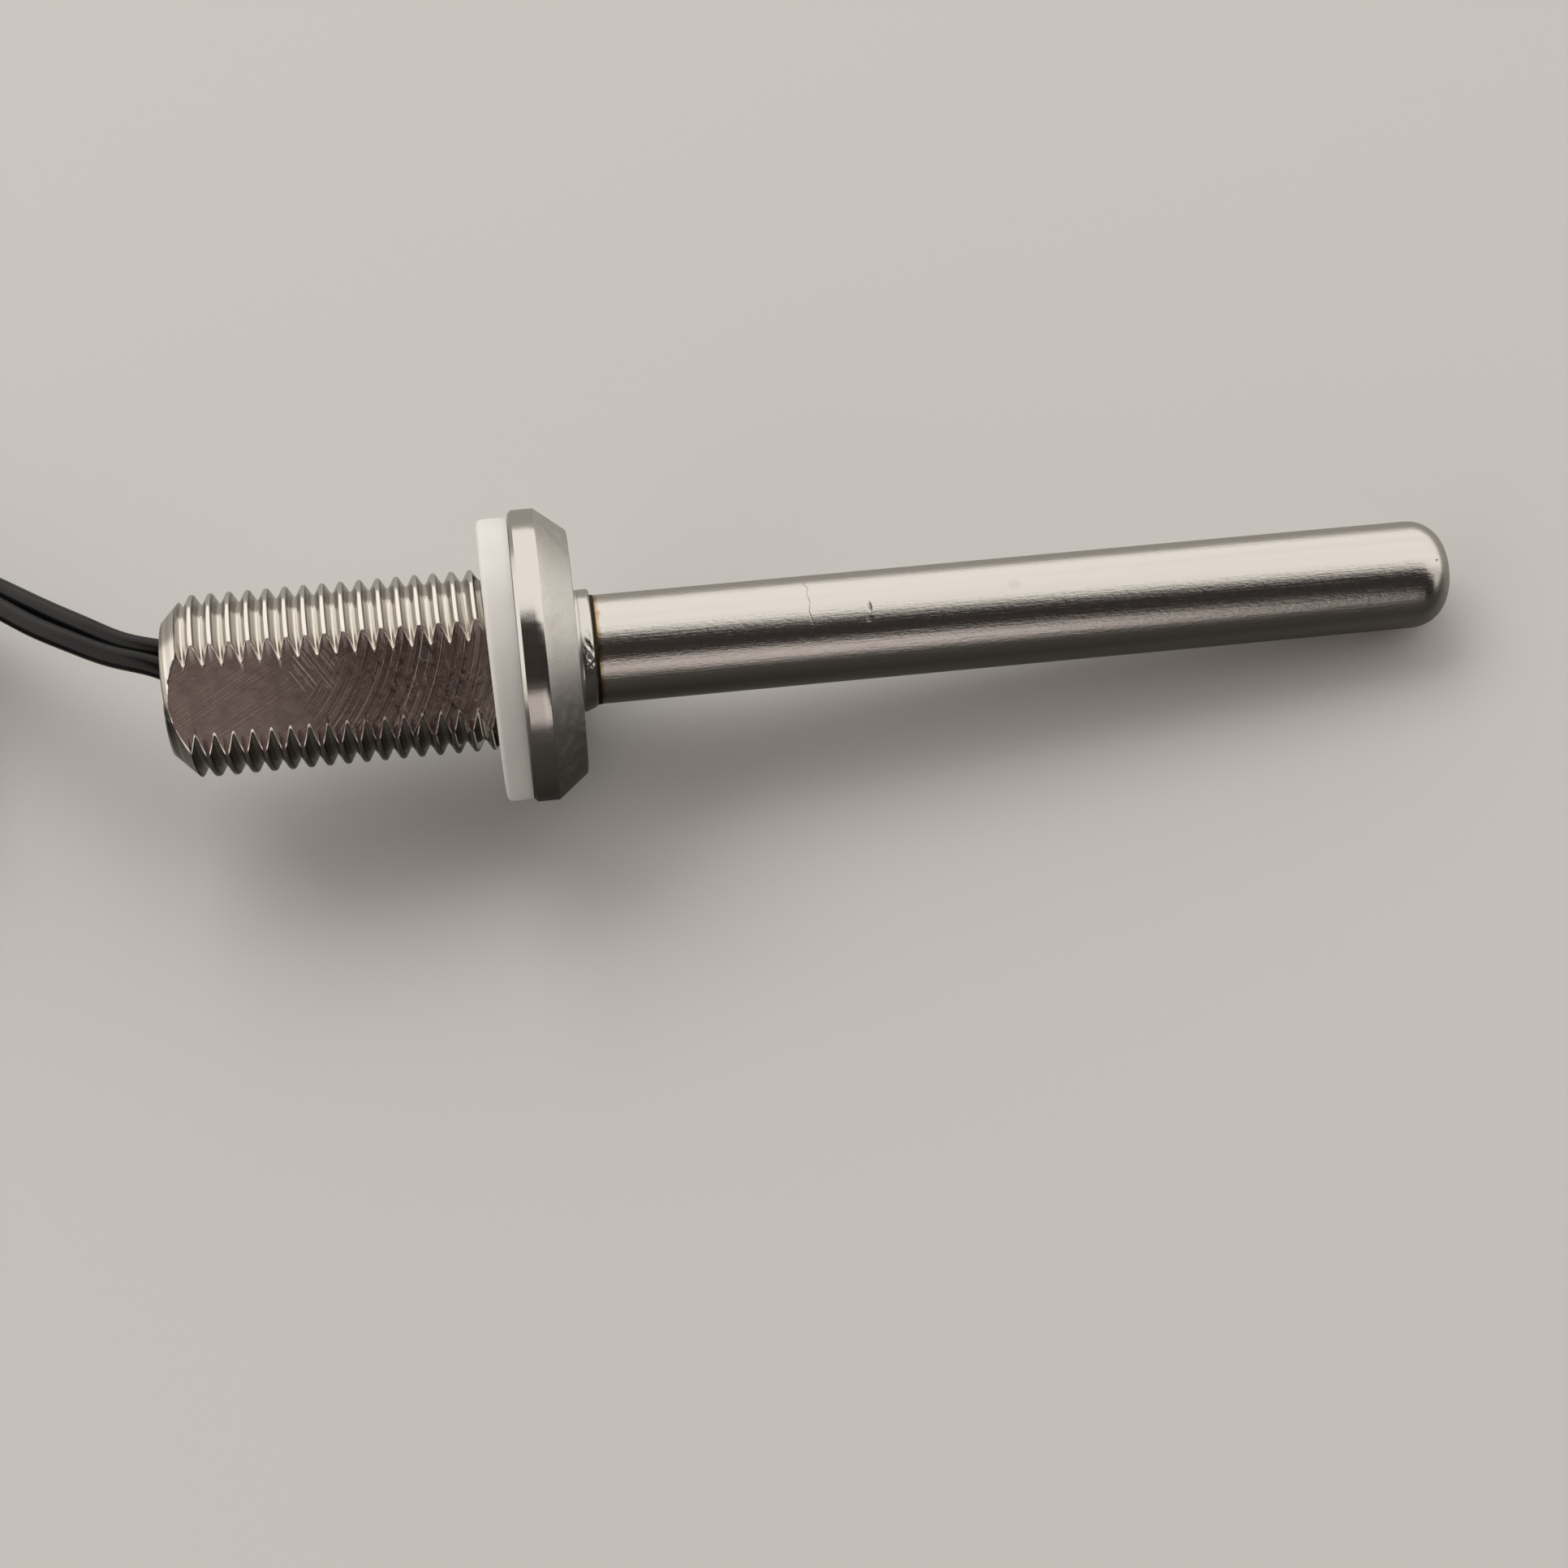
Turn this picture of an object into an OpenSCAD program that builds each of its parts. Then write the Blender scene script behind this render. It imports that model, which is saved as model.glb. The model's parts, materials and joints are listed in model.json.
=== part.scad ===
// Two-wire immersion temperature probe: a threaded stainless fitting with a flange and a
// sealing ring, a closed stainless sheath with a platinum element in its tip, and two leads.
// Distances along the probe's axis are counted from the flange's seal face, and they are
// positive towards the tip.

/* [Thread and stud] */
// Diameter over the thread's crests
thread_d = 9.92; // [9.6:0.02:10.4]
// Diameter at the thread's roots
thread_root_d = 8.72; // [8.4:0.02:8.9]
// Distance from one ridge of the thread to the next
thread_pitch = 1; // [0.75:0.25:1.5]
// Length of the stud, from its end to the seal face
stud_len = 19; // [17:0.5:26]
// Bevel at the end of the stud
stud_chamfer = 1.3; // [0.3:0.1:1.5]
// Plain length between the thread and the seal face
relief_len = 2; // [1.8:0.1:3]
// Diameter of that plain length
relief_d = 8.6; // [8.2:0.1:8.7]
// Size across the two flats milled along the stud
flat_af = 7.9; // [7.4:0.1:8.6]
// Turn of the flats about the axis
flat_turn = 39; // [0:1:90]
// Diameter of the bore that runs through the fitting
bore_d = 6.05; // [6.02:0.01:6.1]
// Bevel at the mouth of that bore
mouth_chamfer = 0.25; // [0.1:0.05:0.4]

/* [Flange and neck] */
// Diameter of the flange
flange_d = 16; // [14:0.5:20]
// Width of the straight band round the flange
band_len = 1.4; // [0.8:0.1:3]
// Length of the cone behind the band
cone_len = 1.7; // [0.8:0.1:3]
// Diameter of the cone's small end
cone_d = 13.3; // [11:0.1:13.8]
// Diameter of the thin neck that is welded to the sheath
neck_d = 6.7; // [6.5:0.05:7.4]
// Length of that neck
neck_len = 0.9; // [0.6:0.1:2.5]
// Bevel at the neck's end
neck_chamfer = 0.2; // [0.05:0.05:0.25]

/* [Sealing ring] */
// Distance from the flange's rim in to the ring's rim
ring_inset = 0.3; // [0:0.05:0.6]
// Thickness of the ring
ring_t = 1.6; // [1:0.1:1.8]
// Rounding of the ring's outer edges
ring_round = 0.35; // [0.1:0.05:0.45]
// Play between the ring's hole and the thread's crests, all round
ring_play = 0.09; // [0.05:0.01:0.3]

/* [Sheath] */
// Outer diameter of the sheath
sheath_d = 6; // [5.9:0.01:6]
// Wall of the sheath
sheath_wall = 0.5; // [0.3:0.05:0.6]
// Distance from the seal face to the sheath's closed end
sheath_len = 52; // [48:1:120]
// Length of sheath inside the stud, behind the seal face
sheath_in = 8; // [4:0.5:9]
// Rounding of the closed end
end_round = 2; // [1:0.1:2.5]
// Thickness of the closed end
end_wall = 0.8; // [0.5:0.1:1.5]
// Width of the weld at the end of the neck
weld_w = 0.28; // [0.1:0.02:0.3]

/* [Leads] */
// Diameter of a lead over its jacket
lead_d = 1.2; // [1:0.05:1.25]
// Diameter of a lead's stranded core
core_d = 0.6; // [0.4:0.05:0.8]
// Distance between the middles of the two leads inside the probe
lead_apart = 1.8; // [1.7:0.05:1.9]
// Bare length at the free end of a lead
bare_len = 5; // [3:0.5:8]
// Width of the tie round the coiled leads
tie_w = 2.4; // [1.5:0.1:4]
// Thickness of that tie
tie_t = 0.4; // [0.2:0.05:0.4]
// Distance along X from the stud's mouth back to the middle of the coiled leads
coil_away = 25.8; // [24:0.2:32]
// Distance to one side from the probe to that middle
coil_aside = 4.5; // [2:0.5:8]

/* [Filling] */
// Distance from the stud's end to the potting
potting_deep = 5; // [3:0.5:6]
// Length of potting inside the sheath
potting_in = 4; // [2:0.5:8]
// Length of the compound round the element
compound_len = 13.2; // [11:0.1:16]
// Wall of the insulating sleeve inside the sheath
liner_wall = 0.3; // [0.2:0.05:0.35]
// Clearance between that sleeve and the sheath, all round
liner_play = 0.05; // [0.02:0.01:0.1]

/* [Element] */
// Length of the platinum element's ceramic chip
chip_len = 5; // [4:0.1:6]
// Width of the chip
chip_w = 2.3; // [2.2:0.1:2.6]
// Thickness of the chip
chip_t = 0.65; // [0.4:0.05:0.8]
// Distance from the chip to the closed end's inner face
chip_gap = 1.7; // [1:0.1:3]
// Length of the glass that covers the chip's film
glass_len = 3.9; // [3:0.1:4.1]
// Width of that glass
glass_w = 1.5; // [1:0.1:1.5]
// Thickness of that glass
glass_t = 0.35; // [0.2:0.05:0.5]
// Diameter of the element's two wires
wire_d = 0.25; // [0.15:0.05:0.3]
// Length of each wire that is bonded to the chip
bond_len = 0.8; // [0.4:0.1:0.9]

/* [Splices] */
// Length of the crimped splice between a lead and a wire
splice_len = 6; // [4:0.5:8]
// Distance from the compound to the splice
splice_gap = 1; // [0.5:0.5:3]
// Wall of the shrunk sleeve over the splice
shrink_wall = 0.2; // [0.1:0.05:0.24]
// Overlap of that sleeve past each end of the splice
shrink_over = 0.5; // [0.3:0.1:0.5]

/* [Hidden] */
$fn = 64;

flange_len = band_len + cone_len;
neck_end = flange_len + neck_len;
ring_d = flange_d - 2 * ring_inset;

// Thread: ridges with 60 degree flanks, counted back from the relief. Each ridge is a plain
// ring, as high and as wide as a turn of the thread.
thread_depth = (thread_d - thread_root_d) / 2;
crest_half = thread_pitch / 16;
ridge_half = crest_half + thread_depth * tan(30);
ridge_count = floor((stud_len - relief_len) / thread_pitch);

// The probe lies on the front edge of its band and on the rounding of the sheath's end, so
// its axis slopes down towards the tip. The way from that edge to the rounding's middle:
rest_way = [sheath_len - end_round - band_len, (flange_d - sheath_d) / 2 + end_round];
rest_slope = atan2(rest_way[1], rest_way[0]) - asin(end_round / norm(rest_way));
axis_height = flange_d / 2 * cos(rest_slope) + band_len * sin(rest_slope);

// The origin lies on the surface, under the middle of the probe's length.
stud_x = -stud_len * cos(rest_slope) - (thread_d / 2 - stud_chamfer) * sin(rest_slope);
tip_x = (sheath_len - end_round) * cos(rest_slope)
      + (sheath_d / 2 - end_round) * sin(rest_slope) + end_round;
middle_x = (stud_x + tip_x) / 2;

sheath_bore_d = sheath_d - 2 * sheath_wall;
cavity_end = sheath_len - end_wall;
cavity_round = end_round - sheath_wall;
potting_start = -stud_len + potting_deep;
potting_end = -sheath_in + potting_in;
compound_start = cavity_end - compound_len;
liner_d = sheath_bore_d - 2 * liner_play;
splice_end = compound_start - splice_gap;
splice_start = splice_end - splice_len;
core_end = splice_start + splice_len / 2;
chip_end = cavity_end - chip_gap;
chip_start = chip_end - chip_len;
wire_end = chip_start + bond_len;
side_1 = -lead_apart / 2;
side_2 = lead_apart / 2;

// The middle of the stud's mouth. The leads' places along X are counted from it.
mouth = axis_point(-stud_len, 0);

// Coil of the two leads: its middle, its winding and where its tie sits.
coil_at = [mouth[0] - coil_away, coil_aside];
coil_in_r = 4.2;
coil_pitch = 1.22;
coil_turns = 5;
coil_layers = 4;
coil_out_r = coil_in_r + coil_turns * coil_pitch;
coil_round = 0.6;
tie_turn = 330;

// Routes of the leads from the potting to the coil, as distances from the mouth along X,
// to one side and up. They suit a mouth at usual_height and a coil at usual_coil. What the
// real mouth differs from that fades out along a route, and what the real coil differs from
// it fades in.
usual_height = 10;
usual_coil = [-25.8, 4.5];
coil_off = coil_at - [mouth[0], 0] - usual_coil;
route_1 = [[2.8, -0.6, 9.9], [1.2, 0.1, 10.5], [-0.5, 1, 10.9], [-2.7, 2, 10.7],
           [-5.2, 3.6, 10.1], [-7.7, 5.5, 9.2], [-10.3, 7.8, 8.2], [-13, 10, 7.3],
           [-15.8, 12.1, 6.5], [-19, 13.7, 5.7], [-22.4, 14.6, 5], [-25.8, 14.8, 4.6]];
route_2 = [[2.6, 1.3, 9.9], [0, 2.1, 10.4], [-2.1, 2.9, 10.3], [-4.4, 4.5, 9.7],
           [-6.9, 6.5, 8.7], [-9.5, 8.7, 7.6], [-12.2, 10.9, 6.5], [-15.1, 12.8, 5.4],
           [-18.5, 14.1, 4.4], [-22.1, 14.8, 3.7], [-25.8, 14.8, 3.4]];

// Routes of the leads from the coil to the ends of their jackets, on the surface. They move
// with the coil.
tail_1 = [[-35.8, 4.5, 2.2], [-36.3, 2, 2.1], [-36.8, -0.6, 1.4], [-37, -3, 0.8],
          [-36.7, -5.4, 0.6]];
tail_2 = [[-35.8, 4.5, 1], [-35.8, 2, 0.8], [-35.6, -0.6, 0.7], [-35.2, -3, 0.6],
          [-34.5, -5.4, 0.6]];

steel = [0.74, 0.73, 0.71];
weld_grey = [0.35, 0.31, 0.26];
silicone = [0.88, 0.87, 0.84];
jacket_black = [0.07, 0.07, 0.07];
tinned = [0.78, 0.78, 0.76];
resin = [0.16, 0.15, 0.14];
ceramic_white = [0.92, 0.92, 0.9];

// Moves what is drawn along +Z from the seal face onto the lying probe's axis.
module on_axis() {
    translate([-middle_x, 0, axis_height])
        rotate([0, 90 + rest_slope, 0])
            children();
}

// Place of a point on the axis, or to one side of it, in the model's own frame.
function axis_point(along, side) =
    [along * cos(rest_slope) - middle_x, side, axis_height - along * sin(rest_slope)];

// Round bar from one distance along the axis to another, to one side of it.
module bar(d, from, to, side = 0) {
    translate([0, side, from])
        cylinder(d = d, h = to - from);
}

// Tube from one distance along the axis to another.
module pipe(outer, inner, from, to, side = 0) {
    difference() {
        bar(outer, from, to, side);
        bar(inner, from - 1, to + 1, side);
    }
}

// Round bar with a flat end and a rounded edge, up to a distance along the axis.
module blunt_bar(d, from, to, edge) {
    rotate_extrude()
        union() {
            translate([0, from])
                square([d / 2, to - edge - from]);
            translate([0, from])
                square([d / 2 - edge, to - from]);
            translate([d / 2 - edge, to - edge])
                intersection() {
                    circle(r = edge);
                    square([edge, edge]);
                }
        }
}

// Swept tube of eight sides through a list of points.
function unit(v) = v / norm(v);
function heading(path, i) = unit(path[min(i + 1, len(path) - 1)] - path[max(i - 1, 0)]);
function ring_at(point, along, r) =
    let (side = unit(cross([0, 0, 1], along)), top = cross(along, side))
        [for (k = [0:7]) point + r * (cos(45 * k) * side + sin(45 * k) * top)];
function side_faces(rings) =
    [for (i = [0:rings - 2]) for (k = [0:7])
        [8 * i + k, 8 * i + (k + 1) % 8, 8 * (i + 1) + (k + 1) % 8, 8 * (i + 1) + k]];
module swept(path, first, last, r) {
    count = len(path);
    turns = [for (i = [0:count - 1]) i == 0 ? first : i == count - 1 ? last : heading(path, i)];
    polyhedron(
        points = [for (i = [0:count - 1]) each ring_at(path[i], turns[i], r)],
        faces = concat([[for (k = [7:-1:0]) k]], side_faces(count),
                       [[for (k = [0:7]) 8 * (count - 1) + k]]),
        convexity = 4);
}

module stud_profile() {
    root = thread_root_d / 2;
    crest = thread_d / 2;
    ridges = [for (k = [ridge_count - 1:-1:0])
        let (at = -relief_len - ridge_half - k * thread_pitch)
            each [[root, at - ridge_half], [crest, at - crest_half],
                  [crest, at + crest_half], [root, at + ridge_half]]];
    polygon(concat([[0, -stud_len], [root, -stud_len]], ridges,
                   [[relief_d / 2, -relief_len], [relief_d / 2, 0], [0, 0]]));
}

module flange_profile() {
    neck_r = neck_d / 2;
    polygon([[0, 0], [flange_d / 2, 0], [flange_d / 2, band_len], [cone_d / 2, flange_len],
             [neck_r, flange_len], [neck_r, neck_end - neck_chamfer],
             [neck_r - neck_chamfer, neck_end], [0, neck_end]]);
}

// Takes the edge off the stud's end.
module stud_bevel() {
    outer = thread_d / 2 + 1;
    rotate_extrude()
        polygon([[thread_d / 2 - stud_chamfer, -stud_len],
                 [thread_d / 2 + stud_chamfer, -stud_len + 2 * stud_chamfer],
                 [outer + stud_chamfer, -stud_len + 2 * stud_chamfer],
                 [outer + stud_chamfer, -stud_len - 1], [thread_d / 2 - stud_chamfer, -stud_len - 1]]);
}

module threaded_body() {
    color(steel)
        on_axis()
            difference() {
                union() {
                    rotate_extrude()
                        stud_profile();
                    rotate_extrude()
                        flange_profile();
                }
                stud_bevel();
                bar(bore_d, -stud_len - 1, neck_end + 1);
                translate([0, 0, -stud_len])
                    cylinder(d1 = bore_d + 2 * mouth_chamfer, d2 = bore_d, h = mouth_chamfer);
                for (half = [0, 180])
                    rotate([0, 0, flat_turn + half])
                        translate([flat_af / 2, -thread_d, -stud_len - 1])
                            cube([thread_d, 2 * thread_d, stud_len + 1]);
            }
}

module sealing_ring() {
    hole = thread_d + 2 * ring_play;
    color(silicone)
        on_axis()
            translate([0, 0, -ring_t])
                difference() {
                    rotate_extrude()
                        union() {
                            square([ring_d / 2 - ring_round, ring_t]);
                            translate([0, ring_round])
                                square([ring_d / 2, ring_t - 2 * ring_round]);
                            translate([ring_d / 2 - ring_round, ring_round])
                                circle(r = ring_round);
                            translate([ring_d / 2 - ring_round, ring_t - ring_round])
                                circle(r = ring_round);
                        }
                    bar(hole, -1, ring_t + 1);
                }
}

module sheath() {
    color(steel)
        on_axis()
            difference() {
                blunt_bar(sheath_d, -sheath_in, sheath_len, end_round);
                blunt_bar(sheath_bore_d, -sheath_in - 1, cavity_end, cavity_round);
            }
}

// Small bead in the corner between the neck's end and the sheath.
module sheath_weld() {
    r = sheath_d / 2;
    color(weld_grey)
        on_axis()
            rotate_extrude()
                polygon([[r, neck_end], [neck_d / 2 - neck_chamfer, neck_end],
                         [r, neck_end + weld_w]]);
}

// Resin that seals the stud: a wide plug in the bore and a narrow one in the sheath.
module potting_plug() {
    color(resin)
        on_axis()
            difference() {
                union() {
                    bar(bore_d, potting_start, -sheath_in);
                    bar(sheath_bore_d, -sheath_in, potting_end);
                }
                for (side = [side_1, side_2])
                    bar(lead_d, potting_start - 1, potting_end + 1, side);
            }
}

module insulating_sleeve() {
    color([0.82, 0.72, 0.5])
        on_axis()
            pipe(liner_d, liner_d - 2 * liner_wall, potting_end, compound_start);
}

// Places a box as long as the part of the axis that it takes, centred sideways, with its
// lower face at a height above the axis.
module block(from, to, width, low, high) {
    translate([-high, -width / 2, from])
        cube([high - low, width, to - from]);
}

module chip_solid() {
    block(chip_start, chip_end, chip_w, -wire_d / 2 - chip_t, -wire_d / 2);
}

module glass_solid() {
    block(wire_end, wire_end + glass_len, glass_w, -wire_d / 2, -wire_d / 2 + glass_t);
}

module wire_solid(side) {
    bar(wire_d, core_end, wire_end, side);
}

module tip_compound() {
    color([0.93, 0.92, 0.88])
        on_axis()
            difference() {
                blunt_bar(sheath_bore_d, compound_start, cavity_end, cavity_round);
                chip_solid();
                glass_solid();
                wire_solid(side_1);
                wire_solid(side_2);
            }
}

module element_chip() {
    color(ceramic_white)
        on_axis()
            chip_solid();
}

module element_glass() {
    color([0.55, 0.66, 0.72])
        on_axis()
            glass_solid();
}

module element_wire(side) {
    color(tinned)
        on_axis()
            wire_solid(side);
}

module splice_crimp(side) {
    color(tinned)
        on_axis()
            difference() {
                bar(lead_d, splice_start, splice_end, side);
                bar(core_d, splice_start - 1, core_end, side);
                bar(wire_d, core_end - 1, splice_end + 1, side);
            }
}

module splice_shrink(side) {
    color([0.55, 0.1, 0.08])
        on_axis()
            pipe(lead_d + 2 * shrink_wall, lead_d, splice_start - shrink_over,
                 splice_end + shrink_over, side);
}

module lead_core(side) {
    color(tinned)
        on_axis()
            bar(core_d, potting_start, core_end, side);
}

module lead_jacket(side) {
    color(jacket_black)
        on_axis()
            pipe(lead_d, core_d, potting_start, splice_start, side);
}

// A route's points in the model's own frame, from the potting and from the coil.
function from_mouth(route) =
    [for (i = [0:len(route) - 1])
        let (share = i / (len(route) - 1))
            route[i] + [mouth[0] + share * coil_off[0], share * coil_off[1],
                        (1 - share) * (mouth[2] - usual_height)]];
function from_coil(route) =
    [for (point = route) point + [mouth[0] + coil_off[0], coil_off[1], 0]];

// Free lead from its hole in the potting's face to the coil.
module lead(side, route) {
    axis_back = [-cos(rest_slope), 0, sin(rest_slope)];
    start = axis_point(potting_start, side);
    path = concat([start], from_mouth(route));
    color(jacket_black)
        swept(path, axis_back, [-1, 0, 0], lead_d / 2);
}

module lead_tail(route) {
    path = from_coil(route);
    color(jacket_black)
        swept(path, [0, -1, 0], heading(path, len(path) - 1), lead_d / 2);
}

// Tinned strands past the end of a lead's jacket, straight on from its last stretch.
module bare_end(route) {
    path = from_coil(route);
    way = heading(path, len(path) - 1);
    color(tinned)
        translate(path[len(path) - 1])
            rotate([0, 90, atan2(way[1], way[0])])
                cylinder(d = core_d, h = bare_len);
}

module coil_solid() {
    low = coil_in_r - lead_d / 2;
    high = coil_out_r + lead_d / 2;
    tall = coil_layers * lead_d;
    translate([coil_at[0], coil_at[1], tie_t])
        rotate_extrude()
            union() {
                translate([low + coil_round, 0])
                    square([high - low - 2 * coil_round, tall]);
                translate([low, coil_round])
                    square([high - low, tall - 2 * coil_round]);
                for (x = [low + coil_round, high - coil_round], y = [coil_round, tall - coil_round])
                    translate([x, y])
                        circle(r = coil_round);
            }
}

module lead_coil() {
    color(jacket_black)
        coil_solid();
}

// Band round the coil, which lifts it by the band's thickness.
module coil_tie() {
    low = coil_in_r - lead_d / 2 - tie_t;
    high = coil_out_r + lead_d / 2 + tie_t;
    color([0.12, 0.12, 0.12])
        difference() {
            translate([coil_at[0], coil_at[1], 0])
                rotate([0, 0, tie_turn])
                    translate([low, -tie_w / 2, 0])
                        cube([high - low, tie_w, coil_layers * lead_d + 2 * tie_t]);
            coil_solid();
        }
}

threaded_body();
sealing_ring();
sheath();
sheath_weld();
potting_plug();
insulating_sleeve();
tip_compound();
element_chip();
element_glass();
element_wire(side_1);  // element_wire_1
element_wire(side_2);  // element_wire_2
splice_crimp(side_1);  // splice_crimp_1
splice_crimp(side_2);  // splice_crimp_2
splice_shrink(side_1);  // splice_shrink_1
splice_shrink(side_2);  // splice_shrink_2
lead_core(side_1);  // lead_core_1
lead_core(side_2);  // lead_core_2
lead_jacket(side_1);  // lead_jacket_1
lead_jacket(side_2);  // lead_jacket_2
lead(side_1, route_1);  // lead_1
lead(side_2, route_2);  // lead_2
lead_coil();
coil_tie();
lead_tail(tail_1);  // lead_tail_1
lead_tail(tail_2);  // lead_tail_2
bare_end(tail_1);  // bare_end_1
bare_end(tail_2);  // bare_end_2
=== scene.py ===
import json
import math

import bmesh
import bpy
import numpy as np
from mathutils import Matrix, Vector


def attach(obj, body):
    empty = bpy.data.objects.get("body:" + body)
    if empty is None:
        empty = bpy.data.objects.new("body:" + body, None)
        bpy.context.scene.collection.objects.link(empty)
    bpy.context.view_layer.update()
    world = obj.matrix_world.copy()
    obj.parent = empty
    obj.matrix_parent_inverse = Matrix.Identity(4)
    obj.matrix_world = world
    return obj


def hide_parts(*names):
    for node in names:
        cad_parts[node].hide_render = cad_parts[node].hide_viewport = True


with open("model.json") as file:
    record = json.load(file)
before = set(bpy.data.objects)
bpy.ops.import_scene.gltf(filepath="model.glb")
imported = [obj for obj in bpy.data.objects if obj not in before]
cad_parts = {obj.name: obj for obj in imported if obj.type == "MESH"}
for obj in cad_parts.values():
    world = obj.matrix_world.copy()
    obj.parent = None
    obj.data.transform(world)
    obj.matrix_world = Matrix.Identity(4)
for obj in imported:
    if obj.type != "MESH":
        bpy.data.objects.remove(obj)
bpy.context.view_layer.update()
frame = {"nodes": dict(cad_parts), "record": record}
cadNodes = frame["nodes"]
print("loaded", len(cadNodes), "nodes")

# Everything below is in millimetres until a mesh is made.
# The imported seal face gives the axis, and a point on the ring's outer face.
lie = {
    "ringThickness": 1.6,
    "mountHeight": 6.4,   # of that point above the axis
}
sealMount = next(m for m in frame["record"]["mounts"] if m["name"] == "seal_face")
tipWay = -np.array(sealMount["axis"], float)
tipWay = tipWay / np.linalg.norm(tipWay)
sideWay = np.array([0.0, 1.0, 0.0])
upWay = np.cross(tipWay, sideWay)
sealCentre = (np.array(sealMount["pos_m"], float) * 1000
              - lie["mountHeight"] * upWay + lie["ringThickness"] * tipWay)


# Point at a distance along the axis, at a turn about it and at a radius. The turn is in degrees,
# 0 straight up from the axis and 90 towards -Y.
def onProbe(along, turn, radius):
    a = np.radians(np.asarray(turn, float))[..., None]
    out = np.cos(a) * upWay - np.sin(a) * sideWay
    along = np.asarray(along, float)[..., None]
    radius = np.asarray(radius, float)[..., None]
    return sealCentre + along * tipWay + radius * out


# --- camera ---
camera = {
    "place": (-2.0925, -69.2, 140.27),
    "turn": (23.9644, 3.5606, -7.1408),
    "lens": 62.4224,
}
cameraData = bpy.data.cameras.new("camera")
cameraData.lens = camera["lens"]
cameraData.sensor_width = 36
cameraData.clip_start = 0.01
cameraData.clip_end = 20
cameraObject = bpy.data.objects.new("camera", cameraData)
cameraObject.location = [v / 1000 for v in camera["place"]]
cameraObject.rotation_euler = [math.radians(v) for v in camera["turn"]]
bpy.context.scene.collection.objects.link(cameraObject)
bpy.context.scene.camera = cameraObject


# Quads of a grid of points, rows by columns. Either way may close on itself.
def gridQuads(rows, columns, closeRows=False, closeColumns=True, first=0):
    i = np.arange(rows if closeRows else rows - 1)
    j = np.arange(columns if closeColumns else columns - 1)
    i, j = np.meshgrid(i, j, indexing="ij")
    i2, j2 = (i + 1) % rows, (j + 1) % columns
    quads = np.stack([i * columns + j, i * columns + j2, i2 * columns + j2, i2 * columns + j], -1)
    return first + quads.reshape(-1, 4)


# Six times the volume that the quads enclose, positive where they face outwards.
def facing(points, quads):
    p = points - points.mean(0)
    a, b, c, d = (p[quads[:, k]] for k in range(4))
    return (np.cross(a, b) * c).sum() + (np.cross(a, c) * d).sum()


# Mesh object from points in mm and quads, in the model's own place, with its seams merged.
def makePiece(name, points, quads, materials, which=None, sharp=24):
    points = np.asarray(points, float).reshape(-1, 3)
    if facing(points, quads) < 0:
        quads = quads[:, ::-1]
    mesh = bpy.data.meshes.new(name)
    mesh.vertices.add(len(points))
    mesh.vertices.foreach_set("co", (points / 1000).astype(np.float32).ravel())
    mesh.loops.add(quads.size)
    mesh.loops.foreach_set("vertex_index", quads.astype(np.int32).ravel())
    mesh.polygons.add(len(quads))
    mesh.polygons.foreach_set("loop_start", np.arange(0, quads.size, 4, dtype=np.int32))
    for material in materials:
        mesh.materials.append(material)
    if which is not None:
        mesh.polygons.foreach_set("material_index", which.astype(np.int32))
    mesh.update(calc_edges=True)
    soft = bmesh.new()
    soft.from_mesh(mesh)
    bmesh.ops.remove_doubles(soft, verts=soft.verts, dist=3e-7)
    bmesh.ops.dissolve_degenerate(soft, edges=soft.edges, dist=1e-7)
    soft.to_mesh(mesh)
    soft.free()
    mesh.shade_smooth()
    mesh.set_sharp_from_angle(angle=math.radians(sharp))
    piece = bpy.data.objects.new(name, mesh)
    bpy.context.scene.collection.objects.link(piece)
    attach(piece, "root")
    return piece


# Natural cubic curve through points, by distance along them, sampled every step.
def smoothWay(points, step):
    points = np.asarray(points, float)
    at = np.r_[0, np.cumsum(np.linalg.norm(np.diff(points, axis=0), axis=1))]
    gap = np.diff(at)
    n = len(points)
    left = np.zeros((n, n))
    right = np.zeros((n, 3))
    k = np.arange(1, n - 1)
    left[0, 0] = left[-1, -1] = 1
    left[k, k - 1], left[k, k], left[k, k + 1] = gap[:-1], 2 * (gap[:-1] + gap[1:]), gap[1:]
    slope = np.diff(points, axis=0) / gap[:, None]
    right[1:-1] = 6 * np.diff(slope, axis=0)
    bend = np.linalg.solve(left, right)
    t = np.linspace(0, at[-1], int(round(at[-1] / step)) + 1)
    i = np.clip(np.searchsorted(at, t, side="right") - 1, 0, n - 2)
    u, h = (t - at[i])[:, None], gap[i][:, None]
    return (points[i] + u * (slope[i] - h * (2 * bend[i] + bend[i + 1]) / 6)
            + u ** 2 * bend[i] / 2 + u ** 3 * (bend[i + 1] - bend[i]) / (6 * h))


# Rings of points round a path: each is a circle of that radius across the path's own heading,
# and a ring of no radius closes each end.
def tubeRings(path, radius, sides):
    heading = np.gradient(path, axis=0)
    heading /= np.linalg.norm(heading, axis=1)[:, None]
    side = np.cross([0.0, 0.0, 1.0], heading)
    side /= np.linalg.norm(side, axis=1)[:, None]
    top = np.cross(heading, side)
    a = np.linspace(0, 2 * np.pi, sides, endpoint=False)[None, :, None]
    rings = path[:, None] + radius * (np.cos(a) * side[:, None] + np.sin(a) * top[:, None])
    ends = [np.repeat(path[k][None, None], sides, axis=1) for k in (0, -1)]
    return np.concatenate([ends[0], rings, ends[1]])


# --- shader helpers and shared groups ---
def addNode(tree, kind, **settings):
    node = tree.nodes.new(kind)
    for key, value in settings.items():
        setattr(node, key, value)
    return node


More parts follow.
